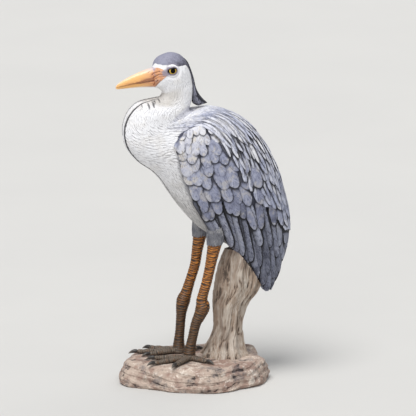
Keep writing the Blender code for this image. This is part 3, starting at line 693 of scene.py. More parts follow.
wingLook = {
    # hang is how straight the folded wings drop from the flanks; heights and thicknesses are in mm
    "small": {"rows": 14, "columns": 9, "shape": "scale", "hang": 0.42, "root": 1.3, "rise": 2.6, "camber": 0.9,
              "thick": 1.4, "power": 0.9, "ragged": 0.14},
    "covert": {"rows": 24, "columns": 13, "shape": "scale", "hang": 0.42, "root": 1.5, "rise": 4.1,
               "camber": 1.9, "thick": 1.7, "shaft": 0.15, "power": 1.0, "ragged": 0.14},
    "slat": {"rows": 32, "columns": 9, "shape": "blade", "hang": 0.42, "root": 0.9, "rise": 1.6, "camber": 1.6,
             "thick": 1.5, "shaft": 0.2, "tilt": -1.9, "ragged": 0.08},
    # rows of feathers by the side view of their tips (y, z): count, widths and lengths front to rear
    "covertRows": [
        ([(-34, 437), (-20, 434), (-4, 437), (12, 434), (28, 432)], 6, (12, 13), (18, 20), "small"),
        ([(-38, 426), (-26, 424), (-10, 420), (6, 421), (24, 422), (38, 420)], 7, (13, 14), (20, 24), "small"),
        ([(-39, 411), (-26, 407), (-10, 406), (8, 404), (26, 405), (46, 401)], 6, (17, 19), (28, 32), "covert"),
        ([(-36, 396), (-16, 391), (6, 387), (26, 393), (42, 386), (58, 380)], 6, (20, 23), (36, 40), "covert"),
        ([(-32, 370), (-12, 377), (4, 366), (20, 366), (40, 370), (58, 364), (76, 366)], 6, (24, 23), (42, 44),
         "covert"),
        ([(-27, 350), (-9, 355), (14, 345), (34, 348), (58, 344), (77, 346), (95, 344)], 7, (25, 21), (48, 46),
         "covert"),
        ([(-11, 326), (12, 323), (36, 327), (60, 320), (82, 311), (104, 314)], 7, (24, 18), (52, 50), "covert"),
        ([(2, 306), (14, 306), (36, 302), (55, 297), (72, 289), (90, 276), (106, 268), (122, 276)], 9, (18, 17),
         (46, 66), "covert"),
        ([(5, 290), (20, 292)], 2, (20, 16), (36, 40), "covert"),
    ],
    "rim": [(285, 2), (306, -5), (326, -20), (350, -34), (370, -39), (400, -45), (412, -46), (430, -43),
            (440, -36), (447, -26), (453, -8)],  # z, y of the folded wing's front edge
    "rimFall": 4.6, "tipJitter": 0.45, "tipStray": 8.0,  # mm the front edge rounds down; how tips stray
    "lean": 31,  # degrees; below, the least and most share of a feather's own measure
    "covertLengths": (0.88, 1.12), "covertWidths": (0.80, 1.14),
    "slatLengths": (0.96, 1.04), "slatWidths": (0.92, 1.08),
    "slatRows": [
        ([(24, 264), (41, 246), (66, 220), (90, 196), (110, 168), (128, 152), (143, 166)], 11, (16, 15),
         (84, 130), (-62, -84)),
        ([(33, 254), (54, 233), (78, 208), (100, 182), (119, 156), (136, 155), (149, 190)], 12, (15, 13),
         (86, 136), (-60, -82)),
        ([(44, 252), (66, 228), (88, 208), (106, 196), (124, 178), (141, 176)], 8, (14, 13), (90, 124),
         (-66, -80)),
        ([(100, 240), (118, 230), (134, 212), (150, 208)], 4, (14, 12), (84, 100), (-74, -78)),
    ],
    "covertTones": [srgb(214, 214, 220), srgb(192, 193, 206), srgb(164, 168, 188), srgb(140, 144, 167),
                    srgb(112, 116, 138), srgb(64, 66, 84)],
    "slatTones": [srgb(166, 170, 187), srgb(140, 144, 163), srgb(112, 116, 134), srgb(78, 81, 97)],
    # on the feathers the light tone on raised edges is dry-brushed paint and painted highlight, and the dark wash
    # in the hollows is also painted shade
    "covertPaint": {"barbTint": barbTint, "barbEvery": 2.1, "slant": 1.22, "mottle": 0.46, "grain": 0.45,
                    "cream": srgb(214, 206, 192), "creamShare": 1.0, "barbShare": 0.72,
                    "frostHighlight": srgb(226, 227, 234), "frostHighlightShare": 0.8, "wash": srgb(30, 30, 40), "washShadeShare": 0.85,
                    "deepFrom": (0.10, 0.80), "quill": 0.15, "depth": 0.0019},
    "slatPaint": {"barbTint": barbTint, "barbEvery": 1.8, "slant": 1.25, "mottle": 0.5, "grain": 0.9,
                  "cream": srgb(150, 148, 146), "creamShare": 0.3, "barbShare": 1.15,
                  "frostHighlight": srgb(196, 199, 212), "frostHighlightShare": 0.9, "wash": srgb(14, 14, 20), "washShadeShare": 0.97,
                  "deepFrom": (-0.08, 0.45), "quill": 0.3, "depth": 0.0018},
}


def behindRim(s, a):  # mm behind the folded wing's front edge, and the height there
    y, z = parts(bodyPoint(s, a, wingLook["covert"]["hang"]) * 1000)[1:]
    return y - lineAt(wingLook["rim"], z), z


def rimFall(s, a):
    return wingLook["rimFall"] * ease(9, -1, behindRim(s, a)[0])


def rowOfTips(row, seed):  # the share along the row and the place of each tip, and the row's source of chance
    rng, count = np.random.default_rng(seed), row[1]
    t = np.clip(np.linspace(0, 1, count) + (rng.random(count) - 0.5) * wingLook["tipJitter"] / count, 0, 1)
    return t, along(row[0], t) + (rng.random((count, 2)) - 0.5) * wingLook["tipStray"], rng


def planWing(side, coverts, slats):
    look, groups, label = wingLook, [], sides[side]
    for n, row in enumerate(look["covertRows"]):
        t, tips, rng = rowOfTips(row, 10 * n + 5 - 2 * side)
        count, fold = len(t), look[row[4]]
        length = mix(*row[3], t) * rng.uniform(*look["covertLengths"], count)
        width = mix(*row[2], t) * rng.uniform(*look["covertWidths"], count)
        tips[:, 0] = np.maximum(tips[:, 0], lineAt(look["rim"], tips[:, 1]) + 0.45 * width)
        y, z = tips.T
        lean = look["lean"] * ease(-36, 42, y) * np.sqrt(ease(235, 395, z)) + rng.uniform(-11, 11, count)
        spine = spinesFromSide(fold, tips, length, np.radians(lean - 91), rng.uniform(-0.03, 0.03, count))
        low, rear, hem = ease(440, 385, z), ease(-28, 22, y) * ease(432, 385, z), ease(330, 285, z)
        shade = 0.06 + 0.20 * low + 0.30 * rear + 0.16 * hem
        lift = 0.8 * ease(1, 7, n) * (1 - ease(5, 7, n)) + rng.uniform(0, 2, count)
        tint, soft = rng.random(count), 0.5 * ease(395, 440, z)
        group = feathers(fold, spine, width, length, side, lift, rimFall, tint=tint, shade=shade, soft=soft)
        behind, high = behindRim(group["spots"][0], np.abs(group["spots"][1]))
        # the folded wing's front edge and the hollow at its top corner get a darker tone: painted shade
        front, shoulder = ease(5.5, 2.0, behind) * ease(412, 432, high), ease(13, 8, behind) * bump(high, 437, 4)
        dusk = bothFaces(0.8 * front + 0.7 * shoulder, group["grid"])
        group["facts"]["shade"] = group["facts"]["shade"] + dusk
        groups.append(group)
    planCoat("coverts" + label, groups, coverts, replaces=("wing_" + label.lower(),), slot="covert_paint")
    groups = []
    for n, row in enumerate(look["slatRows"]):
        t, tips, rng = rowOfTips(row, 100 + 10 * n + 5 - 2 * side)
        count, fold = len(t), dict(look["slat"], root=0.2 + 1.0 * n)
        length = mix(*row[3], t) * rng.uniform(*look["slatLengths"], count)
        width = mix(*row[2], t) * rng.uniform(*look["slatWidths"], count)
        aim = np.radians(mix(*row[4], ease(0, 0.6, t)) + rng.uniform(-2, 2, count))
        spine = spinesFromSide(fold, tips, length, aim, rng.uniform(-0.015, 0.015, count))
        lift, tint = rng.uniform(0, 0.7, count), rng.random(count)
        shade = rng.uniform(0.05, 0.55, count) + 0.42 * ease(250, 170, tips[:, 1])
        groups.append(feathers(fold, spine, width, length, side, lift, tint=tint, soft=0 * t, shade=shade))
    planCoat("slats" + label, groups, slats, replaces=("flight_" + label.lower(),), slot="flight_paint")


covertPaint = paintFeather("covertPaint", wingLook["covertPaint"], wingLook["covertTones"])
slatPaint = paintFeather("flightPaint", wingLook["slatPaint"], wingLook["slatTones"])
for side in sides:
    planWing(side, covertPaint, slatPaint)
print("coverts and flight feathers planned on both wings")


# mantle: fine strands from the neck's foot, then long plumes down the back, along lines that fan over the wings
mantleLook = {
    "plume": {"rows": 22, "columns": 7, "shape": "plume", "root": 0.6, "rise": 3.2, "camber": 1.6, "thick": 1.5,
              "shaft": 0.15, "power": 0.9, "tilt": 1.1, "ragged": 0.12},
    "strand": {"rows": 14, "columns": 3, "shape": "lance", "root": 0.1, "rise": 1.5, "camber": 0.9, "thick": 1.2,
               "tilt": 0.3},
    # share of the way from the back line down to the coverts, and the stations and radians of the line there
    "lines": [
        (0.0, [(13.9, 0.0), (15.2, 0.0), (17.0, 0.0), (19.0, 0.0), (21.7, 0.0)]),
        (0.42, [(12.9, 0.80), (13.8, 0.50), (14.8, 0.38), (16.0, 0.36), (17.0, 0.45), (17.9, 0.58), (18.7, 0.68),
                (19.6, 0.73), (20.4, 0.74), (21.5, 0.62)]),
        (0.68, [(12.5, 1.20), (12.8, 0.98), (14.0, 0.64), (15.3, 0.52), (16.4, 0.60), (17.3, 0.76), (18.2, 0.95),
                (19.0, 1.09), (19.6, 1.16), (20.4, 1.14)]),
        (0.87, [(12.3, 1.44), (12.8, 1.17), (13.7, 0.89), (15.0, 0.75), (16.0, 0.79), (17.0, 0.92), (17.8, 1.06),
                (18.5, 1.19), (19.1, 1.31)]),
        (1.0, [(12.3, 1.56), (12.9, 1.30), (13.6, 1.10), (14.7, 0.95), (15.6, 0.91), (16.6, 0.99), (17.5, 1.10),
               (18.3, 1.22)]),
    ],
    "lanes": 14, "rootEvery": 18.0, "width": (7.5, 13.0), "length": (40, 58), "curl": 0.17,  # mm, radians
    "fineLanes": 30, "fineEvery": 10.0, "fineReach": 100.0, "fineWidth": 3.9, "fineLength": (26, 40),
    "tones": [srgb(234, 234, 238), srgb(208, 210, 222), srgb(184, 188, 207), srgb(162, 167, 190),
              srgb(138, 143, 167), srgb(104, 108, 132)],
    # on the plumes the light tone on raised edges is dry-brushed paint and painted highlight, and the dark wash in
    # the hollows is also painted shade
    "paint": {"barbTint": barbTint, "barbEvery": 1.7, "slant": 1.42, "mottle": 0.45, "grain": 0.5,
              "cream": srgb(214, 208, 200), "creamShare": 0.4, "barbShare": 0.8, "frostHighlight": srgb(228, 230, 238),
              "frostHighlightShare": 0.75, "wash": srgb(20, 20, 28), "washShadeShare": 0.94, "deepFrom": (-0.05, 0.5),
              "quill": 0.1, "depth": 0.0010},
}


def mantleLane(share):  # stations, radians and mm run along one lane of the back
    t, lines = np.linspace(0, 1, 200), mantleLook["lines"]
    sampled = np.stack([along(rows, t) for _, rows in lines])
    for n, line in enumerate(sampled):  # each line is read by its own length
        run = runAlong(bodyPoint(*line.T))
        sampled[n] = np.stack([np.interp(t * run[-1], run, part) for part in line.T], 1)
    places = [place for place, _ in lines]
    n = min(int(np.searchsorted(places, share, side="right")) - 1, len(lines) - 2)
    lane = mix(sampled[n], sampled[n + 1], (share - places[n]) / (places[n + 1] - places[n]))
    return *lane.T, runAlong(bodyPoint(*lane.T)) * 1000


def laneFeathers(fold, share, roots, length, width, side, rng, **tags):
    s, a, run = mantleLane(share)
    u, count = stepsAlong(fold["rows"])[None, :], (len(roots), 1)
    at = roots[:, None] + length[:, None] * u
    sway = rng.uniform(-0.015, 0.015, count) * np.sin(u * 4.0)
    sway = sway + fold.get("curl", 0.0) * rng.uniform(-0.2, 0.8, count) * u**2
    spine = (np.interp(at, run, s), np.interp(at, run, a) + sway * (1 if share > 0 else 0.3))
    return feathers(fold, spine, width, length, side, tint=rng.random(len(roots)), **tags)


def fineLane(share, odd, side, rng):  # strands from the neck's foot down one lane
    look = mantleLook
    roots = look["fineEvery"] * (np.arange(look["fineReach"] / look["fineEvery"]) + 0.5 * odd)
    count = len(roots)
    roots = roots + rng.uniform(0, 3, count)
    length = rng.uniform(*look["fineLength"], count)
    width = look["fineWidth"] * rng.uniform(0.8, 1.2, count) * (1 - 0.2 * ease(40, 0, roots))
    far = roots / look["fineReach"]
    edge, climb = ease(0.76, 0.95, share), ease(42, 76, roots)  # flush at the breast, then up over the coverts
    fold = dict(look["strand"], root=(0.1 - 0.6 * edge * (1 - climb) + 3.8 * edge * climb)[:, None, None])
    shade = 0.40 * ease(0, 40, roots) + 0.12 * far + rng.uniform(-0.10, 0.08, count)
    return laneFeathers(fold, share, roots, length, width, side, rng, lift=1.6 * far * (1 - edge), shade=shade,
                        soft=ease(1.0, 0.2, far) * 0.7)


def plumeLane(share, odd, side, rng):  # long plumes down the rest of the lane
    look, total = mantleLook, mantleLane(share)[2][-1]
    roots = np.arange(58.0 + look["rootEvery"] * 0.5 * odd, total - 34, look["rootEvery"])
    count = len(roots)
    roots = roots + rng.uniform(-5, 5, count)
    length = rng.uniform(*look["length"], count)
    length = np.minimum(length, total - roots + rng.uniform(0, 5, count))
    far, left = ease(60, 260, roots), total - roots - length
    width = mix(*look["width"], far) * rng.uniform(0.82, 1.18, count)
    rise = 3.0 * ease(0.76, 0.95, share) * ease(50, 76, roots)
    fold = dict(look["plume"], curl=look["curl"], root=(0.6 + rise)[:, None, None])
    lift = 1.6 * ease(0.6, 0.8, share) + 4.4 * ease(60, 12, left) * ease(0.75, 0.4, share)
    lift = lift + rng.uniform(0, 1.6, count)
    shade = 0.18 + 0.26 * far + 0.34 * (rng.random(count) - 0.4)
    return laneFeathers(fold, share, roots, length, width, side, rng, lift=lift, shade=shade,
                        soft=0.5 * ease(110, 70, roots))


def planMantle():
    look = mantleLook
    material = paintFeather("mantlePaint", look["paint"], look["tones"])
    for side, label in sides.items():
        rng, groups = np.random.default_rng(40 + side), []
        for makeLane, lanes in ((fineLane, look["fineLanes"]), (plumeLane, look["lanes"])):
            groups += [makeLane(lane / lanes, lane % 2, side, rng) for lane in range(lanes + 1)]
        planCoat("mantlePlumes" + label, groups, material, replaces=("mantle",), slot="mantle_paint")


planMantle()
print("mantle strands and plumes planned down the back")


# tail: a short fan under the mantle and between the wings
tailLook = {
    "length": 84.0,  # mm of the lowest fan
    "vane": {"rows": 26, "columns": 9, "shape": "blade", "root": 0.1, "rise": 1.3, "camber": 1.0, "thick": 1.2,
             "shaft": 0.5},
    # angles from the back line, stations of the start and of the end (outer, middle), mm of width and root height
    "fans": [((1.95, 1.60, 1.25, 0.95, 0.62, 0.30, 0.0), 20.9, (23.75, 23.95), 13, 0.1),
             ((1.05, 0.72, 0.38, 0.0), 20.2, (22.3, 22.9), 15, 1.8),
             ((0.85, 0.48, 0.16), 20.0, (21.9, 22.3), 14, 3.2)],
}


def planTail(material):
    look, groups = tailLook, []
    for n, (angles, start, tip, width, root) in enumerate(look["fans"]):
        fold = dict(look["vane"], root=root, rise=look["vane"]["rise"] + 0.8 * n)
        u = stepsAlong(fold["rows"])[None, :]
        for side in sides:
            turns = np.array([k for k in angles if side > 0 or k > 0])[:, None]
            rng, count, share = np.random.default_rng(60 + side + 5 * n), len(turns), turns / max(angles)
            s = mix(start, mix(tip[1], tip[0], share) - rng.uniform(0, 0.12, (count, 1)), u)
            a = turns * (1 + 0.25 * u) + rng.uniform(0, 0.05, (count, 1))
            wide = width * rng.uniform(0.82, 1.02, count)
            tint, shade = rng.random(count), rng.uniform(0.25, 0.65, count) - 0.1 * n
            groups.append(feathers(fold, (s, a), wide, look["length"] - 16 * n, side, 1.2 * (1 - share[:, 0]),
                                   tint=tint, soft=np.zeros(count), shade=shade))
    planCoat("tailFeathers", groups, material, slot="flight_paint")


planTail(slatPaint)
print("tail fan planned")


# down: fine combed strands over head, neck, breast and belly
downLook = {
    "combed": {"rows": 6, "columns": 3, "shape": "lance", "root": -0.45, "rise": 0.85, "camber": 0.35,
               "thick": 0.8},
    "soft": {"rows": 6, "columns": 3, "shape": "lance", "root": -0.45, "rise": 0.62, "camber": 0.25,
             "thick": 0.7},
    "head": {"rows": 5, "columns": 3, "shape": "lance", "root": -0.50, "rise": 0.30, "camber": 0.07,
             "thick": 0.5},
    "width": (1.6, 4.2),  # mm, least and most
    "mantleEdge": [(12.3, 1.46), (12.9, 1.20), (13.6, 1.02), (14.7, 0.90), (15.6, 0.88), (16.6, 0.95), (24, 1.1)],
    "wingEdge": [(14.1, 1.0), (14.46, 1.44), (15.97, 2.11), (16.86, 2.32), (17.76, 2.44), (18.75, 2.60),
                 (19.5, 2.68), (24, 2.72)],
    # stations, and the degrees by which the strands turn from the body's length towards the back there
    "rearward": ((9.3, 10.8, 12.4, 13.6, 15.0, 17.0), (0, 30, 58, 42, 15, 0)),
    # name, stations, angle between lanes, mm between roots, length in mm, width for its lane
    "regions": [
        ("headFeathers", (0.7, 6.1), 0.085, 3.4, 9.5, 1.55, "head"),
        ("neckFeathers", (6.0, 9.7), 0.065, 5.2, 12.0, 1.3, "soft"),
        ("breastFeathers", (9.6, 13.6), 0.040, 6.6, 14.5, 1.45, "combed"),
        ("bellyFeathers", (13.5, 22.3), 0.040, 7.6, 15.5, 1.45, "combed"),
    ],
}


def laneRoots(angles, start, end, every, rng):  # staggered roots down lanes of one angle each
    odd, roots = np.arange(len(angles)) % 2, []

    def step(s):  # stations from one root to the next
        return every * 0.001 / lengthOf(bodyAxes(s, angles)[0])

    s = start + rng.uniform(0, 0.2, len(angles))
    s = s + 0.5 * odd * step(s)
    while (s < end).any():
        roots.append(np.stack([s, angles], 1)[s < end])
        s = s + step(s) * rng.uniform(0.82, 1.18, len(angles))
    return np.concatenate(roots).T


def bareOfDown(s, a):  # where wings, mantle, crest, eyes and bill leave no room for down
    side, facts = np.abs(a), bodyFacts(s, a)
    under = (s > 13.0) & (side < lineAt(downLook["mantleEdge"], s) - 0.12)
    under = under | (s > 14.2) & (side < lineAt(downLook["wingEdge"], s) - 0.14)
    crest = (s > 4.4) & (s < 10.5) & (side < 0.26)
    brow = (facts["crown"] > -np.interp(s, [2.0, 4.4], [10.0, 4.5])) & (s < 4.4)
    face = (facts["gape"] > -1.0) | (facts["eye"] < 13.0) | (facts["lore"] > 0) | (s < 0.9) & (side > 2.2)
    return under | crest | brow | face


def planDown(material):
    look = downLook
    for n, (name, span, between, every, length, wide, kind) in enumerate(look["regions"]):
        rng = np.random.default_rng(80 + n)
        angles = np.arange(-np.pi + between / 2, np.pi, between)
        angles = angles + rng.uniform(-0.1, 0.1, len(angles)) * between
        s, a = laneRoots(angles, *span, every, rng)
        a = a + rng.uniform(-0.25, 0.25, len(a)) * between
        keep = ~bareOfDown(s, a)
        s, a = s[keep], a[keep]
        count, perRadian = len(s), lengthOf(bodyAxes(s, a)[1]) * 1000
        width = np.clip(between * perRadian * wide, *look["width"]) * rng.uniform(0.8, 1.2, count)
        length = length * rng.uniform(0.8, 1.2, count)
        turn = -np.sign(a) * np.radians(np.interp(s, *look["rearward"])) * ease(3.14, 2.95, np.abs(a))
        turn = turn + rng.uniform(-0.08, 0.08, count) + 0.22 * cloud(bodyPoint(s, a), 0.02, 31)
        spine = spinesFromRoots(look[kind], s, a, turn, length, rng.uniform(-0.2, 0.2, count))
        group = plainFeathers(look[kind], spine, width, length)
        facts = dict(bodyFacts(*group["spots"]), fold=0)
        group["facts"].update((key, bothFaces(value, group["grid"])) for key, value in facts.items())
        planCoat(name, [group], material, slot="plumage_white")


plumagePaint = paintSkin()
planDown(plumagePaint)
print("down planned over head, neck, breast and belly")


# bill: two halves with a ridge, a nostril groove and a fold where they meet the face
billLook = {
    # y; z of the mouth, top and underside; half widths above and below, in mm
    "rows": [(-70, 528.3, 546.6, 511.8, 12.0, 10.8), (-75, 527.5, 546.0, 512.4, 11.0, 9.8),
             (-88, 524.5, 542.6, 513.0, 9.4, 8.2), (-101, 522.0, 537.4, 513.1, 7.6, 6.6),
             (-114, 519.6, 531.8, 512.4, 5.8, 5.0), (-126, 517.2, 525.4, 511.6, 3.9, 3.4),
             (-134, 515.4, 520.5, 511.2, 2.3, 2.0), (-138.3, 514.2, 516.2, 511.6, 0.9, 0.8)],
    "gap": 0.16, "strokeDepth": 0.0003, "speck": (1.0, 0.93, 0.82),
    "amber": srgb(236, 180, 108), "peach": srgb(244, 212, 176), "rust": srgb(192, 112, 64),
    "groove": srgb(126, 72, 56),
}


def paintBill():
    m = Paint("billPaint", {**skinLook, **billLook})
    down, level, fold = m.facts("down", "level", "fold")
    streak, speck = m.noise(0.0036, 4, 0.6, (1.2, 0.22, 1.2), 0.4) - 0.5, m.noise(0.0007, 2)
    fine = m.noise(0.0012, 3, 0.6, (1, 0.4, 1)) - 0.5
    near = down.ramp(0.85, 0.15)  # towards the face
    # lighter peach towards the top of the bill: the bill's paint and a painted highlight
    m.start("amber", "peach", ((level - 0.62) * 1.8 + streak * 1.4).ramp(-0.1, 0.75) * 0.85)
    m.over("rust", ((0.46 - level) * 1.8 + streak * 1.8).ramp(-0.15, 0.9) * (0.18 + near * 0.55))
    mouth = ((0.26 - level) * 3.4 + streak * 2.4 + fine * 0.8).ramp(0.0, 0.9)
    m.over("groove", mouth * (0.10 + near * 0.62))
    base = (down + streak * 0.30).ramp(0.42, 0.06)
    m.over("lilac", base * (level + fine * 0.4).ramp(0.70, 0.96) * 0.9)
    m.over("orange", base * level.ramp(0.92, 0.60) * 0.85)
    m.over("pink", base * (streak + fine * 0.4).ramp(0.02, 0.20) * 0.6)
    seam = (streak * 0.30 - down).ramp(-0.22, -0.03)
    m.over("rust", seam * level.ramp(0.97, 0.75) * 0.75)
    m.over("brown", seam * level.ramp(0.9, 0.4) * 0.45)
    # brown in the folds beside the face: the figure's wash and painted shade
    m.over("brown", (fold + fine * 0.5 + streak * 0.6).ramp(0.12, 0.75) * 0.9)
    m.over("peach", down.ramp(0.90, 0.99) * 0.6)
    m.over("speck", speck.ramp(0.62, 0.78) * 0.18)
    return m.finish(rough=0.44 + streak * 0.2 + fold * 0.2, coat=0.25, coatRough=0.25,
                    normal=m.relief(streak * 0.7 + fine * 0.3, billLook["strokeDepth"]))


def makeBill(upper, material):
    look, (sign, name) = billLook, (1, "Upper") if upper else (-1, "Lower")
    t = np.linspace(0, 1, 110)[:, None]
    y, mouth, top, under, wide, narrow = parts(along(look["rows"], t**0.9))
    edge, half = (top, wide) if upper else (under, narrow)
    mouth, row = mouth + sign * look["gap"], t**0.9 * (len(look["rows"]) - 1)
    a = np.concatenate([np.linspace(0, np.pi, 45), np.linspace(np.pi, 2 * np.pi, 16)[1:-1]])[None, ::-sign]
    outer = a <= np.pi  # the rest is the flat of the mouth
    level = np.maximum(np.sin(a), 0) ** (0.80 if upper else 0.72) + 0 * t
    x = half * np.cos(a) * np.where(outer, 1.0, 0.96)
    rise = (edge - mouth) * level + np.where(outer, 0, -0.35 * np.sin(a) * sign * half / 11)
    deep, lips = foldsAt(y + 0 * a, mouth + rise)
    near = ease(3.0, 1.6, row) * (a < np.pi) * (level < 0.97)
    nick = ease(0.2, 0.9, row) * ease(4.2, 1.6, row) * bump(level, 0.15, 0.07) * (a < np.pi)
    lip = bump(level, 0.02, 0.06) * ease(0.3, 1, row) * (a < np.pi)
    uneven = cloud(np.stack([x, y + 0 * a, rise], -1), 5.0, 17)
    inward = near * (0.9 * deep - 0.5 * lips + 0.3 * uneven) + 0.45 * nick - 0.5 * lip
    ridge = 0.35 * bump(a, np.pi / 2, 0.16) * ease(0.5, 1.5, row) * ease(7, 6, row)
    narrower = 1 - np.clip(inward / np.maximum(half, 1.5), -0.2, 0.5)
    lower = 1 - np.clip(inward * 0.35 / np.maximum(abs(edge - mouth), 2), 0, 0.3)
    points = np.stack([x * narrower, y + 0 * a, mouth + rise * lower + sign * ridge], -1) * 0.001
    facts = {"down": t + 0 * a, "level": level * outer, "fold": np.clip(near * deep + nick * 0.7, 0, 1)}
    loftPiece("bill" + name, points, material, facts, slot="bill_paint", replaces=("bill_" + name.lower(),))


billPaint = paintBill()
for upper in (True, False):
    makeBill(upper, billPaint)
print("bill made")


# eyes: a glossy ball with a gold ring, a wide pupil and a dark rim
eyeLook = {
    "place": (14.5, *markings["eye"]), "radius": 10.2, "pupil": 4.2, "iris": 6.2,  # mm
    "gold": srgb(206, 172, 74), "amber": srgb(132, 96, 40), "dark": srgb(6, 5, 6),
    # the lids: the opening's reach to the front, the back, above and below, and how far the soft skin spreads
    "opening": (8.2, 6.6, 4.4, 5.3), "spread": 11.2,
    # their section from the opening (0) out to the face (1), and the height there in mm
    "section": [(0.0, -0.7), (0.01, 0.15), (0.07, 0.6), (0.17, 0.8), (0.30, 0.75), (0.46, 0.6), (0.62, 0.4),
                (0.78, 0.15), (0.92, -0.15), (1.0, -0.6), (1.0, -1.8), (0.8, -1.8), (0.5, -1.8), (0.25, -1.7),
                (0.08, -1.5), (0.0, -1.2)],
}


def paintEye():
    look, m = eyeLook, Paint("eyeGlass", eyeLook)
    ring, turn = m.facts("ring", "turn")
    where = m.node("CombineXYZ", {}, {0: turn * 5.0, 1: ring * 0.35})
    rays = m.noise(0.5, 3, 0.6, (1, 1, 1), 0.3, at=where) - 0.5
    # the iris darkens to amber at its rim and, as painted shade under the lid, towards its top
    iris = m.blend("gold", "amber", rays * 2.2 + ring.ramp(5.6, 6.6) + turn.sine().ramp(0.2, 1.0) * 0.9)
    m.start("dark", iris, ring.ramp(look["pupil"] - 0.2, look["pupil"] + 0.25))
    m.over("dark", (ring + rays * 0.5).ramp(look["iris"] - 0.1, look["iris"] + 0.4))
    m.over("dark", (ring * turn.sine() + rays * 0.6).ramp(1.6, 3.6) * 0.92)  # the lid's shade
    return m.finish(rough=0.3 + rays * 0.1, specular=0.05, coat=0.08, coatRough=0.02)


def makeEye(side, material):
    look, label = eyeLook, sides[side]
    tilt, turn = np.linspace(0.0, np.pi, 60)[1:-1, None], wholeTurn(64)[None, :]
    x, ring = look["radius"] * np.cos(tilt) + 0 * turn, look["radius"] * np.sin(tilt) + 0 * turn
    swing = np.stack([side * x, ring * np.cos(turn) * side, ring * np.sin(turn)], -1)
    points = (np.array(look["place"]) * (side, 1, 1) + swing) * 0.001
    facts = {"ring": np.where(tilt > np.pi / 2, 9.0, ring), "turn": turn + 0 * tilt}
    loftPiece("eye" + label, points, material, facts, slot="eye_glass", replaces=("eye_" + label.lower(),))


def paintLid():
    m = Paint("lidPaint", skinLook)
    out, up, ahead = m.facts("out", "up", "ahead")
    fine = m.noise(0.0012, 3) - 0.5
    m.start("white", "mauve", (0.70 + ahead * 0.6 - out + fine * 0.5).ramp(0.0, 0.4))
    m.over("lid", (0.36 + ahead * 0.4 - out + fine * 0.3).ramp(0.0, 0.3))
    # a black rim round the opening, wider above the eye as the brow's painted shadow
    m.over("black", (0.15 + up * 0.17 + ahead * 0.06 - out + fine * 0.12).ramp(0.0, 0.12))
    return m.finish(rough=0.5 + fine * 0.2, normal=m.relief(fine, 0.0002))


def makeLids(side, material):  # soft skin round an almond opening, from the ball out to the face
    look = eyeLook
    front, back, above, below = look["opening"]
    x, y, z = look["place"]
    turn = wholeTurn(96)[:, None]  # 0 is the front corner
    cos, sin = np.cos(turn), np.sin(turn)
    out, height = np.array(look["section"]).T[:, None, :]
    openY = -np.where(cos > 0, front * np.abs(cos) ** 1.15, -back * np.abs(cos))
    openZ = np.where(sin > 0, above, below) * np.sign(sin) * np.abs(sin) ** 0.9 - 0.8 * cos
    farY, farZ = -look["spread"] * cos, look["spread"] * sin
    ballX = x + np.sqrt(np.maximum(look["radius"] ** 2 - openY**2 - openZ**2, 9))
    skinX = bodyPoint(*sideToBody(y + farY, z + farZ, 0.6, 6.0))[..., 0] * 1000 - bodyShape["skinUnderCoat"]
    points = [mix(ballX, skinX, out) + height, y + mix(openY, farY, out), z + mix(openZ, farZ, out)]
    points = np.stack(points, -1) * (0.001 * side, 0.001, 0.001)
    count, around = points.shape[:2]
    quads = gridQuads(count + 1, around, True) % (count * around)  # the last ring meets the first
    facts = {"out": out + 0 * turn, "up": sin + 0 * out, "ahead": np.maximum(cos, 0) ** 2 + 0 * out}
    makePiece("eyelids" + sides[side], points, [quads[:, ::-side]], material, facts, slot="plumage_white")


eyeGlass, lidPaint = paintEye(), paintLid()
for side in sides:
    makeEye(side, eyeGlass)
    makeLids(side, lidPaint)
print("eyes and lids set")


# crest: dark plumes lying down the nape, ending in a free wedge
crestLook = {
    # inner y, z; outer y, z; half width, in mm
    "rows": [(-21.0, 559.4, -20.0, 560.0, 1.0), (-16.6, 551.6, -14.0, 552.8, 3.0),
             (-11.4, 537.0, -8.0, 538.0, 4.8), (-8.4, 523.0, -3.6, 524.0, 5.8), (-6.4, 508.0, -0.2, 509.0, 6.6),
             (-5.8, 493.2, 5.8, 496.6, 7.4), (-4.2, 482.6, 12.6, 488.2, 6.4), (4.0, 477.6, 19.5, 481.6, 3.4)],
    "strands": 6, "groove": 0.9, "dark": srgb(22, 21, 27), "middle": srgb(48, 47, 59),
    "light": srgb(156, 157, 174),
}


def paintCrest():
    m = Paint("crestPaint", crestLook)
    ridge, run, seam = m.facts("ridge", "run", "seam")
    fine, worn = m.noise(0.0016, 4, 0.6, (1.4, 1.4, 0.25)), m.noise(0.006, 3)
    # the ridges are paler than the grooves and carry a painted grey sheen
    m.start("dark", "middle", (ridge * 0.7 + (fine - 0.5) * 1.4).ramp(0.1, 0.8))
    m.over("light", ((ridge - 0.62) * 1.6 * (worn + fine).ramp(0.95, 1.25)).clamp() * 0.6)
    m.over("light", (seam * (fine + worn).ramp(0.8, 1.1)).clamp() * 0.8)
    return m.finish(rough=0.5 + fine * 0.2 + run * 0.04, normal=m.relief(fine, 0.0006))


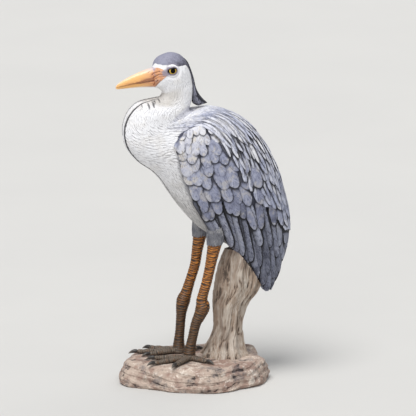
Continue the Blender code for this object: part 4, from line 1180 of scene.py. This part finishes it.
def makeCrest():
    look, t, a = crestLook, np.linspace(0, 1, 120)[:, None], wholeTurn(96)[None, ::-1]
    y0, z0, y1, z1, half = parts(along(look["rows"], t))
    across, out = -np.cos(a), np.sin(a)
    ridge = np.abs(np.cos(across * look["strands"] * np.pi / 2 + 0.9 * np.sin(t * 7.0) + t * 2.2))
    outward, inward = np.clip(out, 0, 1), np.clip(-out, 0, 1)
    groove = (1 - ridge) ** 1.5 * np.sin(outward * np.pi / 2) * ease(0.02, 0.25, t) * ease(1.0, 0.96, t)
    depth = np.clip(look["groove"] * groove / np.maximum(np.hypot(y1 - y0, z1 - z0), 1.2), 0, 0.4)
    share, wide = outward**0.8 * (1 - depth) - 0.10 * inward, half * across * (1 - 0.04 * (1 - ridge))
    points = np.stack([wide, mix(y0, y1, share), mix(z0, z1, share)], -1) * 0.001
    seam = (bump(across, 0.93, 0.08) + bump(across, -0.93, 0.08)) * ease(0.25, 0.5, t) * (out > -0.3)
    facts = {"ridge": ridge, "run": t + 0 * a, "seam": seam}
    loftPiece("crestPlumes", points, paintCrest(), facts, slot="crown_paint", replaces=("crest",))


makeCrest()
print("crest made")


# legs: scaled shanks, knuckled toes and claws
legLook = {
    "spread": 27.0, "plateau": 40.0,  # mm
    "Left": [(27, 243, 12.3), (20.5, 210, 9.4), (13.3, 177, 8.7), (7, 155, 8.7), (4.5, 143, 9.8), (6, 132, 12.4),
             (1, 118, 10.4), (-6, 103, 8.6), (-12, 78, 8.2), (-15.5, 62, 9), (-17, 51.5, 10.5)],
    "Right": [(12.7, 247, 11.8), (8, 220, 9.4), (4, 194, 8.7), (-4, 168, 8.6), (-11, 146, 9.6), (-16, 133, 12),
              (-19, 119, 10.2), (-20.5, 104, 8.4), (-22.5, 78, 8.1), (-24, 62, 9), (-24.5, 51.5, 10.5)],
    "hub": 3, "toeRadius": (6.8, 5.0), "toeTip": (0.93, 0.80, 0.45), "toeScute": 3.4, "toeScuteDepth": 0.55,
    "hubScute": 3.6,
    # heading in degrees from the front and length of each toe
    "toesLeft": [(19, 66), (52, 50), (-12, 56), (128, 36)],
    "toesRight": [(6, 68), (36, 50), (-14, 52), (165, 30)],
    "clawRows": [(0, 4.4, 3.5), (5, 4.6, 3.2), (10, 3.2, 2.1), (14.5, 0.8, 0.5)],  # ahead, height, radius
    "hubRows": [(0.3, 9.3), (1.4, 10.6), (3.5, 11.3), (6.5, 11.0), (9.5, 10.6), (11.2, 10.2)],  # height, radius
    "scuteEvery": 3.9, "scuteDepth": 0.85,  # mm
    "amber": srgb(208, 130, 38), "ochre": srgb(124, 72, 18), "wash": srgb(28, 17, 8), "dusk": srgb(68, 48, 26),
    "toe": srgb(98, 86, 74), "toeDark": srgb(34, 30, 28), "glint": (0.80, 0.50, 0.18),
    "toeWorn": (0.42, 0.38, 0.34), "claw": srgb(48, 44, 42), "clawTip": srgb(120, 112, 102),
}


def scutes(run, turn, every, rows=3):  # height 0..1 of overlapping plates; run in mm, turn from the front
    half = np.pi / rows
    column = np.floor(turn / (2 * half))  # a seam down the front, none down the sides
    across = (turn - (column + 0.5) * 2 * half) / half
    wander = 0.34 * np.sin(run * 0.23 + column * 2.0) + 0.16 * np.sin(run * 0.71 + across * 2.3 + column)
    phase = (run / every + 0.5 * (column % 2) + 0.30 * across**2 + wander) % 1.0
    plate = np.clip(phase / 0.78, 0, 1) ** 0.7 * np.clip((1 - phase) / 0.13, 0, 1) ** 0.8
    return plate * (0.55 + 0.45 * np.clip((1 - np.abs(across)) / 0.16, 0, 1) ** 0.6)


def paintLeg():
    m = Paint("legPaint", legLook)
    plate, run = m.facts("plate", "run")
    fine, worn, speck = m.noise(0.0013, 4, 0.6) - 0.5, m.noise(0.008, 3, 0.6) - 0.5, m.noise(0.0006, 2)
    # amber on the raised scutes is the leg's paint and a painted highlight
    m.start("ochre", "amber", (plate * 0.7 + worn * 1.6 + fine * 0.9).ramp(0.25, 0.95))
    m.over("dusk", (run + worn * 0.4).ramp(0.34, 0.72) * 0.85)
    m.over("glint", plate.ramp(0.75, 1.0) * speck.ramp(0.45, 0.7) * (1 - run) * 0.35)
    # dark between the scutes: the figure's wash and painted shade
    m.over("wash", (0.76 - plate + run * 0.12 + fine * 0.9 + worn * 1.1).ramp(0.0, 0.5) * 0.94)
    height = plate * 0.6 + fine * 0.4
    return m.finish(rough=0.545 + fine * 0.25, coat=0.15, coatRough=0.3, normal=m.relief(height, 0.0006))


def paintFoot():
    m = Paint("footPaint", legLook)
    plate, fine, worn = m.fact("plate"), m.noise(0.0014, 4, 0.6), m.noise(0.007, 3, 0.6)
    m.start("toe", "ochre", ((worn - 0.5) * 2.2 + plate * 0.2).ramp(0.1, 0.8) * 0.6)
    m.over("toeWorn", (plate * fine).ramp(0.42, 0.7) * 0.5)
    # dark between the toe scutes: the figure's wash and painted shade
    m.over("toeDark", (0.6 - plate + (fine - 0.5) * 0.6).ramp(0.0, 0.45) * 0.9)
    return m.finish(rough=0.5 + fine * 0.25, normal=m.relief(plate * 0.6 + fine * 0.4, 0.0006))


def paintClaw():
    m = Paint("clawPaint", legLook)
    grain = m.noise(0.0016, 4, 0.6, (1, 1, 0.5))
    m.start("claw", "clawTip", (m.fact("run") * 0.8 + (grain - 0.5) * 0.9).ramp(0.3, 1.0))
    return m.finish(rough=0.3 + grain * 0.25, normal=m.relief(grain, 0.0003))


def tube(path, radii, around, flat=1.0):  # rings square to a path, in mm; each starts at the front
    way = unit(np.gradient(path, axis=0))
    up = np.where(np.abs(way[:, 2:]) > 0.7, (0.0, -1.0, 0.0), (0.0, 0.0, 1.0))
    up = unit(up - way * (up * way).sum(1, keepdims=True))
    turn = wholeTurn(around)[None, :, None]
    out = up[:, None] * np.cos(turn) * flat + np.cross(way, up)[:, None] * np.sin(turn)
    return (path[:, None] + out * radii[..., None]) * 0.001


def tubeGrid(path, around):  # mm along a path and the turn round it, for each point of its tube
    return runAlong(path)[:, None], halfTurn(wholeTurn(around))[None, :]


def makeShank(side, material):
    look, label = legLook, sides[side]
    rows = look[label]
    y, z, radius = parts(along(rows, np.linspace(0, 1, 300)))
    z[0] += 3.0  # up into the thigh
    path = np.stack([0 * y + side * look["spread"], y, z], -1)
    run, turn = tubeGrid(path, 72)
    plate = scutes(run, turn, look["scuteEvery"])
    radii = radius[:, None] + look["scuteDepth"] * (plate - 0.75) - 0.25 * bump(z, 132, 9)[:, None]
    facts = {"plate": plate, "run": run / run.max() + 0 * turn}
    loftPiece("shank" + label, tube(path, radii, 72), material, facts, slot="leg_paint",
              replaces=("leg_" + label.lower(),))


def makeFoot(side, footPaint, clawPaint):
    look, label, up = legLook, sides[side], np.array([0, 0, 1.0])
    heel = np.array([side * look["spread"], look[label][-1][0], look["plateau"]])
    tubes, plates = [], []
    for n, (heading, length) in enumerate(look["toes" + label]):
        turnTo, reach = math.radians(heading), look["hub"] + length
        ahead = np.array([side * math.sin(turnTo), -math.cos(turnTo), 0.0])
        far = np.linspace(-5, reach + 0.3, 90)
        share = np.clip(far / reach, 0, 1)
        joints = np.abs(np.sin(share * np.pi * (3.5 if n < 3 else 2.0)))
        radius = mix(*look["toeRadius"], share) * (0.90 + 0.13 * joints)
        radius *= np.where(far < 0, np.sqrt(np.clip(1 + far / 5.2, 0.02, 1)), 1)
        radius[-3:] *= look["toeTip"]
        path = heel + ahead * far[:, None] + up * (0.3 + radius * 0.75)[:, None]
        run, turn = tubeGrid(path, 40)
        plate = scutes(run, turn, look["toeScute"], 2) * ease(2.6, 2.0, np.abs(turn))
        radii = radius[:, None] + look["toeScuteDepth"] * (plate - 0.8) * ease(0, 6, run)
        tubes.append(tube(path, radii, 40, 0.75))
        plates.append(plate)
        t = np.linspace(0, 1, 34)[:, None]
        bend, high, thick = parts(along(look["clawRows"], t))
        thick[0] *= 0.7
        path = heel + ahead * (reach + 0.9 + bend) + up * (0.3 + high)
        loftPiece(f"claw{label}{n + 1}", tube(path, thick, 24), clawPaint, {"run": t + np.zeros((1, 24))},
                  slot="claw_paint", replaces=(f"claw_{label.lower()}_{n + 1}",))
    high, wide = parts(along(look["hubRows"], np.linspace(0, 1, 40)[:, None]))
    path = heel + up * high
    run, turn = tubeGrid(path, 72)
    tubes.append(tube(path, wide + 0.5 * (scutes(run, turn, look["hubScute"]) - 0.8), 72))
    plates.append(scutes(np.linspace(0, 11, 40)[:, None], turn, look["hubScute"]))
    loftPiece("foot" + label, tubes, footPaint, {"plate": plates}, slot="foot_paint",
              replaces=("foot_" + label.lower(),))


legPaint, footPaint, clawPaint = paintLeg(), paintFoot(), paintClaw()
for side in sides:
    makeShank(side, legPaint)
    makeFoot(side, footPaint, clawPaint)
print("legs, feet and claws made")


# base and post
rockLook = {
    "radii": (104, 129), "ledgeEvery": 11.0,  # mm
    "profile": [(0.97, 0.0), (0.998, 4.0), (0.99, 12.0), (0.958, 23.0), (0.915, 32.5), (0.865, 38.0),
                (0.76, 40.0), (0.60, 40.0), (0.42, 40.0), (0.20, 40.0), (0.02, 40.0)],
    "mounds": [(-34, 104, 26, 30, 17), (48, 98, 26, 26, 12), (-84, 62, 18, 30, 13), (88, 66, 14, 26, 8)],
    "light": srgb(188, 170, 156), "pink": srgb(152, 126, 114), "grey": srgb(112, 104, 104),
    "moss": srgb(98, 92, 66),
    "crack": srgb(48, 40, 42), "chalkHighlight": srgb(232, 222, 210), "gritDepth": 0.0034,
}


def paintRock():
    m = Paint("rockPaint", rockLook)
    deep, high = m.facts("deep", "high")
    broad, lumps = m.noise(0.05, 4, 0.6), m.noise(0.012, 5, 0.65) - 0.5
    grit, fine = m.noise(0.0035, 4, 0.65) - 0.5, m.noise(0.0011, 3)
    greys, mosses = m.noise(0.026, 4, 0.6), m.noise(0.028, 5, 0.65)
    ropes = m.noise(0.010, 5, 0.6, (1, 0.5, 2.2), 1.6)
    m.start("pink", "light", (broad + lumps * 0.8).ramp(0.35, 0.65))
    m.over("grey", (greys + grit * 0.4).ramp(0.50, 0.64) * 0.75)
    m.over("moss", (mosses + grit * 0.3).ramp(0.60, 0.74) * 0.45)
    # dark in the cracks and hollows: the rock's own cracks and painted shade
    m.over("crack", (deep + (0.5 - ropes) * 2.4 - grit * 1.3 - high * 0.4).ramp(0.30, 1.0) * 0.88)
    # pale chalky paint on the raised bits, also a painted highlight
    m.over("chalkHighlight", (high * 0.8 + lumps * 1.6 + grit * 2.4 - deep).ramp(0.30, 0.95) * 0.7)
    height = lumps * 0.3 + ropes * 0.4 + grit * 0.3 + fine * 0.1
    return m.finish(rough=0.72 + (fine - 0.5) * 0.2, normal=m.relief(height, rockLook["gritDepth"]))


def layered(z, every):  # ledges of weathered rock, half a mm either way
    return np.tanh(6 * np.sin(z * 2 * np.pi / every)) * 0.5


def makeRock():
    look, t, a = rockLook, np.linspace(0, 1, 190)[:, None], wholeTurn(420)[None, :]
    scale, z = parts(along(look["profile"], t**0.85))
    lobes = 1 + 0.045 * np.sin(3 * a + 0.6) + 0.03 * np.sin(5 * a + 2.0) + 0.018 * np.sin(9 * a + z * 0.08)
    x, y = look["radii"][0] * lobes * scale * np.cos(a), look["radii"][1] * lobes * scale * np.sin(a)
    fromPost = np.hypot(x, y - 50)
    mounds = sum(high * bump(x, cx, wx) * bump(y, cy, wy) for cx, cy, wx, wy, high in look["mounds"])
    p = np.stack([x, y, z + mounds * ease(25, 60, y) * ease(60, 80, fromPost) * ease(10, 38, z)], -1)
    rough = cloud(p, 22, 5) * 1.6 + (0.5 - np.abs(cloud(p, 11, 6))) * 2.2 + cloud(p, 4.2, 7) * 0.9
    ledge = layered(p[..., 2] + 0.12 * p[..., 0] + cloud(p, 40, 8) * 9, look["ledgeEvery"])
    crack = 0.9 * bump(cloud(p * (1, 1, 1.6) + cloud(p, 8, 10)[..., None] * 5, 24, 9), 0, 0.07)
    side, top = ease(39.5, 34, z) * ease(0.0, 3.0, z), ease(38, 40, z)
    footing = np.minimum(np.hypot((np.abs(x) - legLook["spread"]) / 1.15, y + 34), 200)
    level = ease(30, 60, footing) * ease(42, 56, fromPost)  # 0 where feet and post stand
    lift = (rough * 0.55 - crack) * (0.25 + 0.75 * level) * ease(0.0, 2.0, z)
    lift = np.where(level < 1, np.minimum(lift, 0) + np.maximum(lift, 0) * level, lift)
    out = (rough * 0.9 + ledge * 1.5 - crack * 1.6) * side
    p += np.stack([out * np.cos(a), out * np.sin(a), top * lift], -1)
    p[..., 2] = np.maximum(p[..., 2], 0.0)
    deep = np.clip(crack * 0.8 - ledge * side * 0.5 - rough * 0.16, 0, 1)
    facts = {"deep": deep, "high": np.clip(rough * 0.35, 0, 1)}
    loftPiece("rockBase", p * 0.001, paintRock(), facts, slot="rock", replaces=("base",))


woodLook = {
    # x, y, z; radii across and along, in mm
    "rows": [(0, 50, 39.6, 38.5, 40.5), (0, 50, 44, 36.5, 38), (0, 50, 48, 34, 35), (0, 51, 62, 28, 29),
             (0, 54, 83, 25, 24), (0, 55, 105, 25, 25), (0, 58, 127, 26, 29), (0, 67, 150, 28, 36),
             (0, 74, 172, 29, 38), (0, 79, 205, 28, 34), (0, 83, 226, 25, 29)],
    # y, z of the bird's underside
    "under": [(20, 258), (35, 245), (68, 222.5), (92, 192), (109, 163), (119, 146)],
    "knots": [(2.6, 118, 7.0), (4.1, 186, 7.0)],  # turn, z, size
    "pale": srgb(200, 190, 178), "warm": srgb(160, 140, 123), "brown": srgb(98, 70, 50),
    "dark": srgb(36, 26, 20), "worn": (0.62, 0.56, 0.50), "grainDepth": 0.0024,
}


def paintWood():
    m = Paint("woodPaint", woodLook)
    ridge, knot = m.facts("ridge", "knot")
    grain, fine = m.noise(0.0030, 5, 0.62, (1, 1, 0.10), 0.5), m.noise(0.0010, 3, 0.6, (1, 1, 0.16))
    broad, browns = m.noise(0.035, 3, 0.5, (1, 1, 0.5)), m.noise(0.03, 4, 0.6, (1, 1, 0.35))
    m.start("warm", "pale", (ridge * 0.5 + (grain - 0.5) * 1.6 + (broad - 0.5) * 1.6).ramp(0.0, 0.75))
    m.over("brown", (browns + (grain - 0.5) * 0.4).ramp(0.52, 0.68) * 0.6)
    # dark in the grain's grooves and splits: the wood's own colour and painted shade
    m.over("dark", (0.36 - ridge + (0.5 - grain) * 1.5 + (0.5 - fine) * 0.6).ramp(0.05, 0.55) * 0.85)
    m.over("dark", (knot + (fine - 0.5) * 0.6).ramp(0.35, 0.8) * 0.8)
    m.over("worn", (fine * ridge).ramp(0.48, 0.72) * 0.4)
    height = grain * 0.65 + fine * 0.35
    return m.finish(rough=0.66 + (fine - 0.5) * 0.3, normal=m.relief(height, woodLook["grainDepth"]))


def makePost():
    look, t, a = woodLook, np.linspace(0, 1, 250)[:, None], wholeTurn(288)[None, :]
    x0, y0, z, rx, ry = parts(along(look["rows"], t))
    twist = a + 0.10 * np.sin(z * 0.03) + 0.03 * np.sin(z * 0.11)
    lobes = 1 + 0.07 * np.sin(5 * a + z * 0.012) + 0.06 * np.sin(8 * a - z * 0.02) * (1.3 - 0.64 * t)
    at = np.stack([np.cos(twist) * 30, np.sin(twist) * 30, z * 0.16 + 0 * a], -1)
    at = at + 2.2 * cloud(at * (1, 1, 3), 14.0, 25)[..., None]
    ridges = 0.6 * cloud(at, 7.0, 21) + 0.5 * cloud(at, 3.2, 22) + 0.4 * (0.6 - 2 * np.abs(cloud(at, 2.0, 23)))
    split, knots = bump(cloud(at, 11.0, 24), 0, 0.07), 0
    for turn, height, size in look["knots"]:
        away = np.hypot(halfTurn(a - turn) * 27 / size, (z - height) / (size * 1.6))
        knots = knots + np.exp(-(away**2) * 2.2)
    out = lobes + (ridges * 2.3 - split * 1.8 - knots * 1.6) / 27
    x, y = x0 + rx * out * np.cos(a), y0 + ry * out * np.sin(a)
    z = np.minimum(z + 0 * a, lineAt(look["under"], y) + 2.0)
    facts = {"ridge": np.clip(0.5 + ridges * 0.9 - split * 0.6, 0, 1), "knot": np.clip(knots, 0, 1)}
    loftPiece("driftwoodPost", np.stack([x, y, z], -1) * 0.001, paintWood(), facts, slot="driftwood",
              replaces=("stump",))


makeRock()
makePost()
print("rock base and driftwood post made")


# thighs: feathered down to the bare shanks
thighLook = {
    # back of the leg's top, height above it, more than the leg's radius, in mm, from the body down to the leg
    "rows": [(12, 60, 4.0), (8.6, 46, 4.8), (6, 34, 5.0), (3.4, 22, 4.2), (1.5, 12, 3.0), (0.5, 5, 2.2),
             (0, 0.3, 1.5), (-2.4, -8, 0.4), (-4.4, -16, 0.0), (-6.4, -24, 0.0)],
    "last": 6,  # the row where the bare leg begins
    "plate": {"rows": 6, "columns": 3, "shape": "lance", "root": -0.5, "rise": 1.1, "camber": 0.4, "thick": 0.8},
    "skinUnder": 0.4, "lanes": 54, "every": 5.0, "length": 11.0, "width": 2.9,
    "pale": srgb(178, 177, 177), "grey": srgb(112, 113, 121), "dark": srgb(40, 38, 42),
    "brushed": srgb(214, 212, 212),
}


def paintThigh():
    m = Paint("thighPaint", thighLook)
    hollow, strokes = m.fact("hollow"), m.noise(0.0036, 4, 0.6, (1, 1, 0.35), 0.5)
    fine, broad = m.noise(0.0013, 3), m.noise(0.014, 3)
    low = m.place().part(2).ramp(0.292, 0.250)
    m.start("pale", "grey", broad.ramp(0.40, 0.65) * 0.5 + low * 0.8 + (strokes - 0.5) * 0.8)
    deep = (hollow + (fine - 0.5) * 0.6).ramp(0.05, 0.8)
    # dark between the strands and at their roots, stronger lower down: the figure's wash and painted shade
    m.over("dark", deep * (0.35 + low * 0.5) + strokes.ramp(0.42, 0.28) * (0.2 + low * 0.5))
    m.over("brushed", (strokes + fine * 0.5).ramp(0.80, 1.0) * 0.5)
    return m.finish(rough=0.6 + (fine - 0.5) * 0.2, normal=m.relief(strokes * 0.6 + fine * 0.4, 0.0005))


def planThigh(side, material):
    look, label = thighLook, sides[side]
    legY, legZ, legRadius = legLook[label][0]
    rows = [(legY + lean, legZ + up, legRadius + more) for lean, up, more in look["rows"]]

    def thighPoint(s, a, hang=0.0):  # s runs down the thigh, a round it from behind
        y, z, r = parts(smoothRows(rows, s))
        return np.stack([legLook["spread"] + r * np.sin(a), y + r * np.cos(a), z + 0 * a], -1) * 0.001

    s, a = np.meshgrid(np.linspace(0, look["last"], 60), wholeTurn(56), indexing="ij")
    under = overBody(s, a, -look["skinUnder"], thighPoint) * (side, 1, 1)
    loftPiece("thighSkin" + label, under[:, ::side], material, {"hollow": 0.3 + 0 * s}, slot="thigh_paint",
              replaces=("thigh_" + label.lower(),))
    rng, lanes, roots = np.random.default_rng(120 + side), look["lanes"], []
    for k in range(12):
        run = (k + 0.5 * (np.arange(lanes) % 2) + rng.uniform(0, 0.3, lanes)) * look["every"]
        roots.append(np.stack([run / 60 * look["last"], wholeTurn(lanes) + rng.uniform(-0.04, 0.04, lanes)], 1))
    s, a = np.concatenate(roots).T
    keep = s < look["last"] - 0.4
    s, a, count, low = s[keep], a[keep], keep.sum(), ease(3.5, 5.5, s[keep])
    fold = dict(look["plate"], over=thighPoint)
    length = look["length"] * rng.uniform(0.8, 1.2, count) * mix(1, 0.55, low)
    spine = spinesFromRoots(fold, s, a, rng.uniform(-0.1, 0.1, count), length, rng.uniform(-0.25, 0.25, count))
    width = look["width"] * rng.uniform(0.8, 1.2, count)
    group = plainFeathers(fold, spine, width, length, side, -0.9 * low)
    planCoat("thighFeathers" + label, [group], material, slot="thigh_paint")


thighPaint = paintThigh()
for side in sides:
    planThigh(side, thighPaint)
print("thigh feathers planned")

softRelief = makeCoats()
print("coats laid:", ", ".join(plan[0] for plan in coatPlans))
makeSkin(softRelief, plumagePaint)
print("skin laid over head, neck, trunk and tail")


# floor, light and camera
stageLook = {
    "floor": srgb(205, 204, 201), "floorMottle": srgb(198, 197, 195), "floorSize": 60.0,
    "air": srgb(236, 239, 244), "airStrength": 0.46,
    "target": (0.0, 0.0209, 0.2979), "azimuth": 78.0, "elevation": 13.0, "distance": 12.0, "frameWidth": 0.707,
    # direction, strength, softness in degrees and warmth of the wide lights
    "suns": [((0.36, -0.30, 1.0), 2.66, 32, (1.0, 0.99, 0.97)),
             ((0.9, -0.40, 0.20), 0.75, 50, (0.98, 0.99, 1.0)), ((-0.6, 0.6, 0.7), 0.5, 45, (1.0, 0.99, 0.97))],
}


def setStage():
    look, scene = stageLook, bpy.context.scene
    m = Paint("paleFloor", look)
    m.start("floor", "floorMottle", m.noise(0.4, 3))
    far, mesh = look["floorSize"], bpy.data.meshes.new("floor")
    mesh.from_pydata([(-far, -far, 0), (far, -far, 0), (far, far, 0), (-far, far, 0)], [], [(0, 1, 2, 3)])
    mesh.materials.append(m.finish(rough=0.9))
    floor = bpy.data.objects.new("floor", mesh)
    scene.collection.objects.link(floor)

    world = bpy.data.worlds.new("studioAir")
    world.use_nodes = True
    air = world.node_tree.nodes["Background"]
    air.inputs["Color"].default_value = (*look["air"], 1)
    air.inputs["Strength"].default_value = look["airStrength"]
    scene.world = world
    scene.view_settings.view_transform = "Standard"
    aim = Vector(look["target"])
    for n, (way, strength, softness, warmth) in enumerate(look["suns"]):
        lamp = bpy.data.lights.new(f"softLight{n + 1}", "SUN")
        lamp.energy, lamp.angle, lamp.color = strength, math.radians(softness), warmth
        place(bpy.data.objects.new(lamp.name, lamp), aim, Vector(way), 2)

    turn, rise = math.radians(look["azimuth"]), math.radians(look["elevation"])
    back = Vector((math.sin(turn) * math.cos(rise), -math.cos(turn) * math.cos(rise), math.sin(rise)))
    view = bpy.data.cameras.new("camera")
    view.sensor_width = 36
    view.lens = 36 * look["distance"] / look["frameWidth"]
    scene.camera = place(bpy.data.objects.new("camera", view), aim, back, look["distance"])


def place(holder, aim, way, far):  # stands off from the aim along the way, looking back at it
    holder.location = aim + way * far
    holder.rotation_euler = (-way).to_track_quat("-Z", "Y").to_euler()
    bpy.context.scene.collection.objects.link(holder)
    return holder


setStage()
print("floor, lights and camera set")
